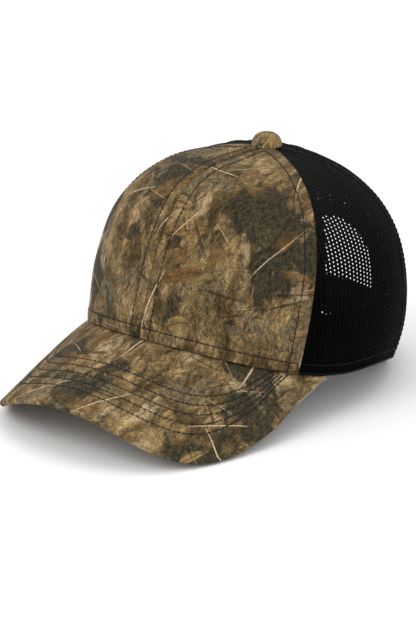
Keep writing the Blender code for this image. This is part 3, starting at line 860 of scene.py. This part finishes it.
def visor_lines(v):
    """The seat under the hem, its s and t, and the rim's, at shares v from right to left."""
    hem = CROWN.face(VISOR_END * (2 * v - 1), 0.0)
    inward = np.stack([-hem[:, 0], CROWN_Y - hem[:, 1], 0 * v], axis=1)
    seat = hem + unit(inward) * VISOR_UNDERLAP
    root = visor_coordinates(seat[:, 0], seat[:, 1])
    angle = 90.0 * (2 * v - 1)
    side, nose = np.sin(np.radians(angle)), np.maximum(np.cos(np.radians(angle)), 0)
    s = VISOR_HALF * np.sign(side) * np.abs(side) ** (2 / VISOR_SIDE_POWER)
    t = VISOR_ROOT + (VISOR_LENGTH - VISOR_ROOT) * nose ** (2 / VISOR_NOSE_POWER)
    corner = np.clip((np.abs(angle) - VISOR_TAPER_FROM) / (90.0 - VISOR_TAPER_FROM), 0, 1)
    tail = root + np.stack([np.sign(angle), np.full(v.shape, 0.4)], axis=1) * VISOR_TAIL
    rim = np.stack([s, t], axis=1)
    return seat, root, rim + (tail - rim) * corner[:, None] ** 1.6


VISOR_V = np.linspace(0, 1, 361)
SEAT, ROOT, RIM = visor_lines(VISOR_V)
SETTLE = (SEAT[:, 2] - VISOR_CLEARANCE - visor_surface(ROOT[:, 0], ROOT[:, 1], 0.0)[:, 2])[::6]
ROOT_STEPS = steps_along(ROOT[::6])


def nearest_on(line, s, t):
    """How far each point of a grid lies from a line of (s, t) points, and where along the line."""
    start, ahead = line[:-1].astype(np.float32), np.diff(line, axis=0).astype(np.float32)
    size = np.maximum((ahead**2).sum(1), 1e-12)
    steps = np.concatenate([[0], np.cumsum(np.sqrt(size))])
    away, along = np.empty(s.shape), np.empty(s.shape)
    for i in range(len(s)):
        off = np.stack([s[i], t[i]], axis=-1)[:, None].astype(np.float32) - start
        share = np.clip((off * ahead).sum(-1) / size, 0, 1)
        gap = ((off - share[..., None] * ahead) ** 2).sum(-1)
        best = gap.argmin(-1)
        at = np.arange(len(best))
        away[i] = np.sqrt(gap[at, best])
        along[i] = steps[best] + share[at, best] * np.sqrt(size[best])
    return away, along


def visor_point(s, t, depth):
    """A point of the visor, where it has settled against the hem."""
    away, along = nearest_on(ROOT[::6], np.atleast_2d(s), np.atleast_2d(t))
    settle = np.interp(along, ROOT_STEPS, SETTLE) * np.exp(-away / VISOR_SETTLING)
    point = visor_surface(s, t, depth)
    point[..., 2] += settle.reshape(point.shape[:-1])
    return point


def visor_normal(s, t):
    along = visor_point(s + 0.0005, t, 0.0) - visor_point(s - 0.0005, t, 0.0)
    ahead = visor_point(s, t - 0.0005, 0.0) - visor_point(s, t + 0.0005, 0.0)
    return unit(np.cross(along, ahead))


def rim_inward():
    ahead = unit(np.gradient(RIM, axis=0))
    return np.stack([ahead[:, 1], -ahead[:, 0]], axis=1)


def visor_rows():
    """The stitch rows: copies of the outermost, each moved back and drawn in at its sides."""
    line = RIM + rim_inward() * VISOR_ROW_INSET
    reach, _ = nearest_on(RIM, line[None, :, 0], line[None, :, 1])
    line = line[np.abs(reach[0] - VISOR_ROW_INSET) < 0.0004]
    half = np.abs(line[:, 0]).max()
    rows = []
    for row in range(VISOR_ROWS):
        extra = row * VISOR_ROW_PITCH
        moved = line * np.array([1 - VISOR_ROW_SPREAD * extra / half, 1]) - np.array([0, extra])
        in_front = moved[:, 1] > np.interp(moved[:, 0], ROOT[:, 0], ROOT[:, 1]) + 0.0022
        rows.append(moved[in_front])
    return rows


VISOR_LINES = visor_rows()


def visor_relief(inset, s, t):
    relief = 0.00006 * np.ones(inset.shape)
    nearest = np.full(inset.shape, 1.0)
    for row, line in enumerate(VISOR_LINES):
        distance, along = nearest_on(line[::3], s, t)
        shifted = along + 0.37 * STITCH * row
        relief += groove(distance, 0.00034, 0.0006) + puckers(shifted, distance, 0.00006)
        nearest = np.minimum(nearest, distance)
    swell = 1 - np.exp(-((nearest / 0.0016) ** 2))
    relief += 0.00024 * swell * np.exp(-((nearest / 0.0060) ** 4))
    relief += ripple(s, t, 31, 0.028, 0.00013) * smooth(0.003, 0.012, inset)
    return relief


def visor_top():
    """The upper cover, from the hem to the rim, round it and a little way under."""
    turns = np.linspace(0, pi, 13)[1:]
    inward, radius = rim_inward(), VISOR_THICKNESS / 2
    edge = RIM + inward * radius
    top = ROOT + (edge - ROOT) * np.linspace(0, 1, 118)[:, None, None]
    lip = edge - inward * radius * np.sin(turns)[:, None, None]
    tuck = lip[-1] + inward * COVER_TUCK
    flat = np.concatenate([top, lip, tuck[None]])
    s, t = flat[..., 0], flat[..., 1]
    depth = np.concatenate([np.zeros(len(top)), radius * (1 - np.cos(turns)), [VISOR_THICKNESS]])
    inset, _ = nearest_on(RIM[::3], top[..., 0], top[..., 1])
    relief = np.zeros(s.shape)
    from_seat = np.linalg.norm(top - ROOT, axis=-1)
    relief[: len(top)] = visor_relief(inset, top[..., 0], top[..., 1])
    relief[: len(top)] -= VISOR_CREASE * np.exp(-((from_seat / VISOR_CREASE_REACH) ** 4))
    relief *= np.concatenate([np.ones(len(top)), np.linspace(0.6, 0, len(turns) + 1)])[:, None]
    outer = visor_point(s, t, depth[:, None] - relief)
    # the inner face: the same strip drawn in by the cloth's thickness
    thin = radius - COVER
    inner_lip = lip + inward * (np.sin(turns)[:, None, None] * COVER)
    inner_flat = np.concatenate([top, inner_lip, tuck[None]])
    rolled = radius - thin * np.cos(turns)
    depth = np.concatenate([np.full(len(top), COVER), rolled, [VISOR_THICKNESS - COVER]])
    inner = visor_point(inner_flat[..., 0], inner_flat[..., 1], depth[:, None] - relief)
    arc = np.concatenate([np.zeros(len(top)), turns * radius, [pi * radius + COVER_TUCK]])
    uv = (flat * np.array([1, -1]) + np.array([0, -1]) * arc[:, None, None]) * 10 + 5.3
    item = closed_sheet("visor_cloth", outer[:, ::-1], inner[:, ::-1], VISOR_PRINT, uv[:, ::-1])
    return place(item, "printed_twill", "visor_top_cover")


def visor_under():
    edge = RIM + rim_inward() * LINING_INSET
    shares = np.linspace(0, 1, 84)[:, None, None]
    flat = ROOT + (edge - ROOT) * shares
    s, t = flat[..., 0], flat[..., 1]
    inset, _ = nearest_on(RIM[::3], s, t)
    relief = visor_relief(inset, s, t)
    low = VISOR_THICKNESS
    outer = visor_point(s, t, low + relief * 0.8)
    inner = visor_point(s, t, low - COVER + relief * 0.2)
    uv = flat * 10 + 9.1
    item = closed_sheet("visor_lining", outer, inner, PRINT, uv)
    return place(item, "printed_twill", "visor_under_cover")


def visor_stitching():
    """Rows over the visor that stop at the hem, each seen above and below."""
    paths = []
    for line in VISOR_LINES:
        steps = steps_along(line)
        at = np.linspace(0, steps[-1], 700)
        s, t = np.interp(at, steps, line[:, 0]), np.interp(at, steps, line[:, 1])
        inset, _ = nearest_on(RIM[::3], s[None], t[None])
        relief = visor_relief(inset, s[None], t[None])[0]
        normal = visor_normal(s, t)
        paths.append((visor_point(s, t, -relief), normal))
        paths.append((visor_point(s, t, VISOR_THICKNESS + relief * 0.8), -normal))
    return thread("visor_stitching", paths, DARK_THREAD)


# Mesh panels


def arch_outline(share, outset):
    """The opening's outline, from the wearer's right foot over the top to the left foot."""
    half, top = ARCH_HALF + outset, ARCH_TOP + outset
    turn = pi * np.clip((share - 0.25) / 0.5, 0, 1)
    leg = ARCH_LEG * np.clip(np.minimum(share, 1 - share) / 0.25, 0, 1)
    return -half * np.cos(turn), leg + (top - ARCH_LEG) * np.sin(turn)


def out_of_arch(angle, up, outset):
    """Moves the points that lie in the opening out to its outline."""
    spot = CROWN.face(angle, up)
    x, z = spot[:, 0], spot[:, 2]
    half, rise = ARCH_HALF + outset, ARCH_TOP + outset - ARCH_LEG
    high = np.maximum(z - ARCH_LEG, 0)
    size = np.hypot(x / half, high / rise)
    inside = (size < 1) & (np.abs(angle) > ARCH_FROM) & (z < ARCH_LEG + rise)
    low = inside & (z <= ARCH_LEG)
    x = np.where(low, np.sign(x) * half, np.where(inside, x / np.maximum(size, 1e-6), x))
    z = np.where(inside & ~low, ARCH_LEG + high / np.maximum(size, 1e-6), z)
    angle, up = angle.copy(), up.copy()
    angle[inside], up[inside] = CROWN.behind(x[inside], z[inside])
    return angle, up


def mesh_panel(name, start, end, node):
    """Knitted mesh between two seams, as a net of hexagonal cells, each with its hole."""
    middle = (start(0.0) + end(0.0)) / 2
    length = np.interp(middle, CROWN.angles, CROWN.length)
    a, b = HOLE_ACROSS, HOLE_UP
    tip, corner = (a * a + b * b / 4) / (2 * a), (a * a - b * b / 4) / (2 * a)
    upper = [(tip, 0), (corner, b / 2), (0, b / 2), (-corner, b / 2)]
    outline = np.array(upper + [(-x, -y) for x, y in upper])
    turn = np.arctan2(outline[:, 1] / b, outline[:, 0] / a)
    hole = np.stack([HOLE_HALF[0] * np.cos(turn), HOLE_HALF[1] * np.sin(turn)], axis=1)
    bar = np.abs(outline[:, 0]) < 1e-9
    columns, rows = int(0.075 / a), int(length / b) + 3
    k, n = np.meshgrid(np.arange(-columns, columns + 1), np.arange(-1, rows))
    centre = np.stack([k * a, (n + 0.5 * (k % 2)) * b], axis=-1).reshape(-1, 2)

    def located(flat):
        up = np.clip(flat[:, 1] / length, 0, PANEL_TOP)
        return CROWN.angle_at((start(up) + end(up)) / 2, flat[:, 0], up), up

    def room(flat):
        """How far inside the panel's edges a point lies, less than 0 outside."""
        angle, up = located(flat)
        sides = np.minimum(CROWN.across(start(up), angle, up), CROWN.across(angle, end(up), up))
        ends = np.minimum(flat[:, 1] - MESH_FOOT, PANEL_TOP * length - flat[:, 1])
        spot = CROWN.face(angle, up)
        half, rise = ARCH_HALF + BINDING_LAP, ARCH_TOP + BINDING_LAP - ARCH_LEG
        size = np.hypot(spot[:, 0] / half, np.maximum(spot[:, 2] - ARCH_LEG, 0) / rise)
        arch = np.where(np.abs(angle) > ARCH_FROM, (size - 1) * 0.03, 1.0)
        return np.minimum(np.minimum(sides, ends), arch)

    inside = room(centre)
    centre, inside = centre[inside > -0.0022], inside[inside > -0.0022]
    pierced = inside > 0.0013
    rings = [  # share of the way from the hole's edge to the cell's, depth of ribs, depth of bars
        (1.0, 0.00010, 0.00032),
        (0.42, 0.00016, 0.00036),
        (0.0, 0.00052, 0.00058),
        (0.42, 0.00092, 0.00086),
        (1.0, 0.00098, 0.00090),
    ]
    flats, depths = [], []
    for share, rib, cross in rings:
        ring = hole + (outline - hole) * share
        flats.append(centre[:, None] + ring)
        depths.append(np.broadcast_to(np.where(bar, cross, rib), flats[-1].shape[:2]))
    for hub_depth in (0.0002, 0.0009):
        flats.append(centre[:, None])
        depths.append(np.full((len(centre), 1), hub_depth))
    flat, depth = np.concatenate(flats, axis=1), np.concatenate(depths, axis=1)
    index = np.arange(flat.shape[0] * flat.shape[1]).reshape(flat.shape[:2])
    after = np.roll(np.arange(8), -1)
    faces, layers = [], []
    for ring in range(4):
        near, far = (index[:, k * 8 : k * 8 + 8] for k in (ring, ring + 1))
        for one in ([near, far[:, after], far], [near, near[:, after], far[:, after]]):
            faces.append(np.stack(one, axis=-1)[pierced].reshape(-1, 3))
            layers.append(np.full(len(faces[-1]), ring < 2))
    for centre_point, ring, outward in ((40, 0, True), (41, 4, False)):
        hub = np.broadcast_to(index[:, centre_point : centre_point + 1], (len(index), 8))
        first = index[:, ring * 8 : ring * 8 + 8]
        second = first[:, after]
        fan = np.stack([hub, first, second] if outward else [hub, second, first], axis=-1)
        faces.append(fan[~pierced].reshape(-1, 3))
        layers.append(np.full(len(faces[-1]), outward))
    faces, outer_layer = np.concatenate(faces), np.concatenate(layers)

    flat, depth = flat.reshape(-1, 2), depth.reshape(-1)
    up = np.clip(flat[:, 1], MESH_FOOT, PANEL_TOP * length) / length
    angle = CROWN.angle_at((start(up) + end(up)) / 2, flat[:, 0], up)
    gap = CROWN.angle_at(start(up), 0.00015, up), CROWN.angle_at(end(up), -0.00015, up)
    angle = np.clip(angle, *gap)
    angle, up = out_of_arch(angle, up, BINDING_LAP)
    key = np.round(np.stack([angle * 100, up * 10000, depth * 1e5], axis=1) + 0.137)
    _, first, merged = np.unique(
        key.astype(np.int64), axis=0, return_index=True, return_inverse=True
    )
    faces = merged.reshape(-1)[faces]
    whole = (faces != np.roll(faces, -1, axis=1)).all(axis=1)
    faces, outer_layer = faces[whole], outer_layer[whole]
    angle, up, depth = angle[first], up[first], depth[first]
    wave = ripple(angle * 0.0014, up * length, 5, 0.03, 0.00015)
    points = CROWN.point(angle, up, depth - wave)
    points[:, 2] = np.maximum(points[:, 2], 0.0)
    points, faces = walled(points, faces, outer_layer)
    item = make_object(name, points, [faces], MESH)
    return place(item, "black_mesh", node)


def walled(points, faces, outer_layer):
    """Closes the panel's border, from the outer layer's free edges to the inner layer's points."""
    def free_edges(block):
        edges = np.concatenate([block[:, [0, 1]], block[:, [1, 2]], block[:, [2, 0]]])
        _, index, count = np.unique(
            np.sort(edges, axis=1), axis=0, return_inverse=True, return_counts=True
        )
        return edges[count[index.reshape(-1)] == 1]

    free = free_edges(faces)
    used_outer = np.zeros(len(points), bool)
    used_outer[faces[outer_layer]] = True
    outer_free = free[used_outer[free].all(axis=1)]
    inner_points = np.unique(free[~used_outer[free].any(axis=1)])
    if len(outer_free) == 0 or len(inner_points) == 0:
        return points, faces
    ends = np.unique(outer_free)
    away = np.linalg.norm(points[ends][:, None] - points[inner_points][None], axis=2)
    partner = dict(zip(ends.tolist(), inner_points[away.argmin(1)].tolist()))
    walls = []
    for first, second in outer_free.tolist():
        low_first, low_second = partner[first], partner[second]
        walls.append((second, first, low_first))
        if low_first != low_second:
            walls.append((second, low_first, low_second))
    return points, np.concatenate([faces, np.array(walls)])


def mesh_panels():
    for side in (1, -1):
        seams = (
            lambda up, side=side: front_seam(up) * side,
            lambda up, side=side: BACK_SEAM * side + 0 * up,
            lambda up, side=side: 180.0 * side + 0 * up,
        )
        for panel, first, last in (("side_", *seams[:2]), ("back_", *seams[1:])):
            bounds = (first, last) if side > 0 else (last, first)
            name = panel + side_name(side)
            mesh_panel("mesh_cloth_" + name, *bounds, "mesh_" + name)


def hem_strip(side):
    """The mesh's turned-in hem: a leaf inside, rolled round the bottom edge."""
    angle = np.linspace(FRONT_SEAM[0] + 0.6, HEM_END, 260)[:, None] * side
    leaf, lip, thick = 0.0075, 0.0014, 0.00045
    outline = [(leaf, 0.00125), (0.0045, 0.00115), (0.0012, 0.00115), (0.0004, 0.0008)]
    outline += [(0.0008, 0.00005), (lip, -0.00012), (lip, -0.00042), (0.0006, -0.00048)]
    outline += [(-0.0002, -0.0001), (-0.0004, 0.0007), (0.0, 0.00155)]
    outline += [(high, deep + thick) for high, deep in outline[2::-1]]
    height, depth = np.array(outline).T
    up = CROWN.at_height(angle, height)
    rings = CROWN.point(angle, np.maximum(up, 0), depth)
    rings[..., 2] = np.maximum(rings[..., 2] + np.minimum(height, 0), 0.00002)
    uv = cloth_uv(CROWN.across(0.0, angle, 0.0), height)
    name = side_name(side)
    item = looped_strip("mesh_hem_" + name, rings, TAPE_CLOTH, uv)
    return place(item, "black_tape")


def mesh_stitching():
    paths = []
    for side in (1, -1):
        angle = np.linspace(FRONT_SEAM[0] + 1.2, 160.0, 500)
        paths.append(crown_path(angle * side, CROWN.at_height(angle, HEM_STITCH), 0.00002))
        for seam, way, low in ((BACK_SEAM, 1, 0.008), (BACK_SEAM, -1, 0.008), (180.0, -1, 0.60)):
            up = np.linspace(low, SEWN_TOP, 360)
            angle = CROWN.angle_at(seam, way * MESH_STITCH, up)
            paths.append(crown_path(angle * side, up, 0.00002))
    return thread("mesh_stitching", paths, BLACK_THREAD)


# Tapes, binding, bands


def tape(name, seam, low, node):
    """A woven tape over a seam's inside, with its two rows of stitches."""
    up = divided(TAPE_LENGTH, 0.0011)[:, None] * (TAPE_TOP - low) + low
    share = divided(TAPE_WIDTH, 0.0006)[None]
    middle = seam(up)
    off = (share - 0.5) * TAPE_WIDTH
    angle = CROWN.angle_at(middle, off, up)
    edge = TAPE_WIDTH / 2 - np.abs(off)
    along = CROWN.rise(angle, up)
    swell = -0.00025 * np.exp(-((off / 0.0011) ** 2)) + ripple(off, along, 41, 0.02, 0.0001)
    swell += groove(edge - TAPE_STITCH, 0.00012) + puckers(along, edge - TAPE_STITCH, 0.00006)
    back = pinch(np.minimum(edge, np.minimum(up - low, TAPE_TOP - up) * 0.15), TAPE / 2)
    outer = CROWN.point(angle, up, TAPE_DEPTH + back + np.minimum(swell, 0.0002))
    inner = CROWN.point(angle, up, TAPE_DEPTH + TAPE - back - np.minimum(swell, 0.0) * 0.4)
    uv = cloth_uv(off, along)
    item = closed_sheet(name, outer, inner, TAPE_CLOTH, uv)
    paths = []
    for side in (-1, 1):
        line = np.linspace(low + 0.01, TAPE_TOP - 0.01, 300)
        where = CROWN.angle_at(seam(line), side * (TAPE_WIDTH / 2 - TAPE_STITCH), line)
        paths.append(lining_path(where, line, TAPE_DEPTH + TAPE))
    return place(item, "black_tape", node), paths


def tapes():
    seams = {
        "seam_tape_front": (lambda up: 0.0 * up, TAPE_LOW),
        "seam_tape_side_left": (front_seam, TAPE_LOW),
        "seam_tape_side_right": (lambda up: -front_seam(up), TAPE_LOW),
        "seam_tape_back_left": (lambda up: BACK_SEAM + 0 * up, TAPE_LOW),
        "seam_tape_back_right": (lambda up: -BACK_SEAM + 0 * up, TAPE_LOW),
        "seam_tape_back": (lambda up: 180.0 + 0 * up, BACK_TAPE_LOW),
    }
    paths = []
    for node, (seam, low) in seams.items():
        paths += tape(node.replace("seam_tape", "woven_tape"), seam, low, node)[1]
    thread("tape_stitching", paths, BLACK_THREAD)


def buckram(side):
    name = side_name(side)
    up = np.linspace(0.02, SEWN_TOP, 130)[:, None]
    share = divided(0.095, 0.0014)[None]
    start, last = CROWN.angle_at(0.0, 0.002, up), CROWN.angle_at(front_seam(up), -0.002, up)
    angle = start + (last - start) * share
    seam, hem = CROWN.across(0.0, angle, up), CROWN.rise(angle, up)
    wave = ripple(seam, hem, 51 + side, 0.03, 0.0001)
    outer = CROWN.point(angle * side, up, BUCKRAM_DEPTH + wave)
    inner = CROWN.point(angle * side, up, BUCKRAM_DEPTH + BUCKRAM + wave)
    item = closed_sheet(
        "stiffener_" + name, outer, inner, STIFFENER, np.stack([seam, hem], axis=-1) * 10
    )
    return place(item, "buckram", "buckram_" + name)


def arch_binding():
    """A folded tape over the opening's edge."""
    share = np.linspace(0, 1, 230)[:, None]
    outside, inside = -(BINDING + 0.0002), BINDING_INNER
    fold = (inside - outside) / 2
    turns = np.linspace(-pi / 2, pi / 2, 9)
    leaf = np.array([1.0, 0.985, 0.95, 0.9, 0.8, 0.75, 0.55, 0.35, 0.18]) * BINDING_WIDTH
    middle = (inside + outside) / 2
    route = [(reach, outside) for reach in leaf]
    route += [(-fold * cos(turn) * 0.35, middle + fold * sin(turn)) for turn in turns]
    route += [(reach, inside) for reach in leaf[::-1]]
    back_route = [(reach, inside - BINDING) for reach in leaf]
    thin = fold - BINDING
    back_route += [(-thin * cos(turn) * 0.25 + 0.0002, middle - thin * sin(turn)) for turn in turns]
    back_route += [(reach, outside + BINDING) for reach in leaf[::-1]]
    reach, depth = np.array(route + back_route).T
    row = np.abs(reach - (BINDING_WIDTH - BINDING_STITCH)) < 0.0004
    depth = depth + np.where(row & (depth == outside), 0.00018, 0)
    x, z = arch_outline(share, reach)
    wobble = ripple(share * 0.25, reach, 61, 0.02, 0.0001)
    angle, up = CROWN.behind(x, np.maximum(z, FOOT_GAP))
    rings = CROWN.point(angle, up, depth + wobble)
    round_it = np.cumsum(np.hypot(*np.gradient(np.stack([reach, depth]), axis=1)))
    uv = cloth_uv(share * ARCH_ROUND, round_it[None])
    item = looped_strip("opening_binding", rings, TAPE_CLOTH, uv)
    place(item, "black_tape", "arch_binding")
    paths = []
    line = np.linspace(0.01, 0.99, 600)
    x, z = arch_outline(line, BINDING_WIDTH - BINDING_STITCH)
    angle, up = CROWN.behind(x, np.maximum(z, 0.0015))
    paths.append(crown_path(angle, up, outside + 0.00008))
    paths.append(lining_path(angle, up, inside - 0.00004))
    thread("binding_stitching", paths, BLACK_THREAD)


def band_drop(angle, low):
    """How far the band hangs below the hem at the front, where it covers the visor's back edge."""
    front = 1 - smooth(BAND_DROP_FADE, VISOR_END, np.abs(angle))
    return BAND_DROP * front * (1 - smooth(0.0, BAND_DROP_REACH, low))


def sweatband():
    """A band of twill folded over at the top and sewn along the hem."""
    angle = np.linspace(-BAND_END, BAND_END, 560)[None]
    tall = BAND_HEIGHT - FOOT_GAP
    height = FOOT_GAP + divided(tall, 0.0011, 0.0045, 0.028)[:, None] * tall
    up = CROWN.at_height(angle, height)
    along = CROWN.across(0.0, angle, up)
    top, low = BAND_HEIGHT - height, height - FOOT_GAP
    ends = (BAND_END - np.abs(angle)) * 0.0014
    back = pinch(np.minimum(np.minimum(top, low), ends), BAND / 2)
    puff = 0.0005 * smooth(0, 0.006, top) * smooth(0, 0.005, low)
    puff = puff + ripple(along, height, 71, 0.018, 0.00022)
    puff += 0.00035 * np.exp(-(((top - 0.0016) / 0.0012) ** 2))
    for edge, depth, swell in ((top, 0.0003, 0.00015), (low, 0.0004, 0.00018)):
        puff += groove(edge - BAND_STITCH, depth) + puckers(along, edge - BAND_STITCH, swell, 0.003)
    outer = CROWN.point(angle, up, BAND_DEPTH + back)
    inner = CROWN.point(angle, up, BAND_DEPTH + BAND - back + np.maximum(puff, -0.0004))
    for face in (outer, inner):
        face[..., 2] -= band_drop(angle, low)
    uv = cloth_uv(along, height)
    item = closed_sheet("sweat_band", outer, inner, BAND_CLOTH, uv)
    place(item, "sweatband_cloth", "sweatband")
    paths = []
    for offset in (BAND_HEIGHT - BAND_STITCH, FOOT_GAP + BAND_STITCH):
        angle = np.linspace(-BAND_END + 0.8, BAND_END - 0.8, 900)
        up = CROWN.at_height(angle, offset)
        points, normals = lining_path(angle, up, BAND_DEPTH + BAND + 0.0001)
        points[..., 2] -= band_drop(angle, offset - FOOT_GAP)
        paths.append((points, normals))
    thread("band_stitching", paths, BLACK_THREAD)
    return item


def care_label():
    angle = np.linspace(*LABEL_ANGLES, 26)[None]
    share = np.linspace(0, 1, 22)[:, None]
    height = LABEL_LOW + LABEL_TALL * share
    up = CROWN.at_height(angle, height)
    lift = 0.0006 * np.sin(share * pi / 2) ** 2 + 0.00015 * np.sin(angle * 1.3)
    depth = BAND_DEPTH + BAND + 0.0007 + lift
    outer, inner = CROWN.point(angle, up, depth), CROWN.point(angle, up, depth + 0.00035)
    uv = cloth_uv(CROWN.across(0.0, angle, up), height)
    item = closed_sheet("blank_label", outer, inner, LABEL_CLOTH, uv)
    return place(item, "label_cloth", "care_label")


# Button


def button_cloth():
    """Twill drawn over a domed button, with faint gathers towards its foot."""
    radius, height, foot, thickness = 0.0086, 0.0076, 0.0003, 0.0008
    turn = np.linspace(0, 2 * pi, 97)[:-1][:, None]
    climb = np.radians(np.linspace(0, 90, 34))[None]

    def shell(wide, tall):
        gather = 1 + 0.012 * np.sin(turn * 9 + 0.8 * np.sin(turn * 2)) * np.cos(climb) ** 6
        dent = 1 + 0.006 * np.sin(turn * 3 + 1.0) * np.cos(climb)
        out = wide * np.cos(climb) ** 0.75 * gather * dent
        out = np.where(climb == climb.max(), 0.00002, out)
        return out, foot + tall * np.sin(climb) ** 0.95 + 0 * turn

    far, high = shell(radius, height)
    near, low = shell(radius - thickness, height - thickness)
    far = np.concatenate([far[:, ::-1], far[:, :1] - 0.0002, near], axis=1)
    high = np.concatenate([high[:, ::-1], high[:, :1], low], axis=1)
    x, y = far * np.cos(turn), far * np.sin(turn)
    middle = np.array([0.0, CROWN_Y + APEX_LEAN, CROWN_HEIGHT])
    rings = middle + np.stack([x, y, high], axis=-1)
    count, along = rings.shape[:2]
    index = np.arange(count * along).reshape(count, along)
    after = np.roll(index, -1, axis=0)
    quads = np.stack([index[:, :-1], after[:, :-1], after[:, 1:], index[:, 1:]], axis=-1)
    caps = np.stack([index[:, 0], index[::-1, -1]])
    uv = cloth_uv(x, y + high * 0.6) + 12.4
    item = make_object("button_cloth", rings, [quads.reshape(-1, 4), caps], BUTTON_PRINT, uv)
    return place(item, "printed_twill", "button_cover")


# Carried-over pieces


def carried_over():
    materials = {"visor_board": BOARD, "button_shell": METAL, "button_rivet": METAL}
    for node in ("socket_strap", "peg_strap", "socket_anchor", "peg_anchor"):
        materials[node] = PLASTIC
    for node, material in materials.items():
        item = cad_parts[node]
        for slot_in in item.material_slots:
            slot_in.material = material
        bevel = item.modifiers.new("Edges", "BEVEL")
        bevel.width, bevel.segments, bevel.limit_method = 0.00018, 2, "ANGLE"
        bevel.angle_limit = radians(40.0)


# Stage


def area_light(name, place_at, aim, size, power):
    data = bpy.data.lights.new(name, "AREA")
    data.shape, data.size, data.energy = "DISK", size, power
    item = bpy.data.objects.new(name, data)
    item.location = place_at
    item.rotation_mode = "QUATERNION"
    item.rotation_quaternion = (Vector(aim) - Vector(place_at)).to_track_quat("-Z", "Y")
    bpy.context.scene.collection.objects.link(item)


def stage():
    make = Shader("pale_floor")
    place_in = make.position()
    tone = make.noise(place_in, 3.0, 2.0)
    make.set(Specular_IOR_Level=0.1)
    make.finish(make.mix(tone, (0.93, 0.93, 0.93), (0.95, 0.95, 0.95)), 0.9)
    corners = [(x * FLOOR_HALF, y * FLOOR_HALF, 0) for x, y in ((-1, -1), (1, -1), (1, 1), (-1, 1))]
    mesh = bpy.data.meshes.new("floor")
    mesh.from_pydata(corners, [], [(0, 1, 2, 3)])
    mesh.materials.append(make.material)
    floor = bpy.data.objects.new("floor", mesh)
    bpy.context.scene.collection.objects.link(floor)

    world = bpy.data.worlds.new("studio")
    world.use_nodes = True
    world.node_tree.nodes["Background"].inputs["Color"].default_value = (1.0, 1.0, 1.0, 1.0)
    world.node_tree.nodes["Background"].inputs["Strength"].default_value = WORLD_LIGHT
    bpy.context.scene.world = world
    middle = (0.0, 0.0, 0.06)
    area_light("key", (-0.35, -1.35, 1.35), middle, 1.1, KEY_LIGHT)
    area_light("fill", (1.6, -0.9, 0.9), middle, 1.3, FILL_LIGHT)
    area_light("top", (0.1, 0.25, 1.7), middle, 1.2, TOP_LIGHT)


def camera():
    turn, tilt, roll = radians(AZIMUTH), radians(ELEVATION), radians(ROLL)
    back = Vector((sin(turn) * cos(tilt), -cos(turn) * cos(tilt), sin(tilt)))
    level = Vector((cos(turn), sin(turn), 0.0))
    upright = back.cross(level)
    right = level * cos(roll) + upright * sin(roll)
    up = upright * cos(roll) - level * sin(roll)
    place_at = TARGET + back * DISTANCE
    aim = TARGET + right * AIM_RIGHT + up * AIM_UP
    back = (place_at - aim).normalized()
    right = (right - back * right.dot(back)).normalized()
    up = back.cross(right)
    data = bpy.data.cameras.new("camera")
    data.sensor_width = 36.0
    data.lens = FOCAL_PIXELS * data.sensor_width / PICTURE_HEIGHT
    item = bpy.data.objects.new("camera", data)
    matrix = Matrix((right, up, back)).transposed().to_4x4()
    matrix.translation = place_at
    item.matrix_world = matrix
    bpy.context.scene.collection.objects.link(item)
    bpy.context.scene.camera = item


camera()
stage()
for side in (1, -1):
    front_panel(side)
front_stitching()
visor_top()
visor_under()
visor_stitching()
mesh_panels()
for side in (1, -1):
    hem_strip(side)
mesh_stitching()
tapes()
for side in (1, -1):
    buckram(side)
arch_binding()
sweatband()
care_label()
button_cloth()
carried_over()
bpy.context.scene.view_settings.view_transform = "Standard"
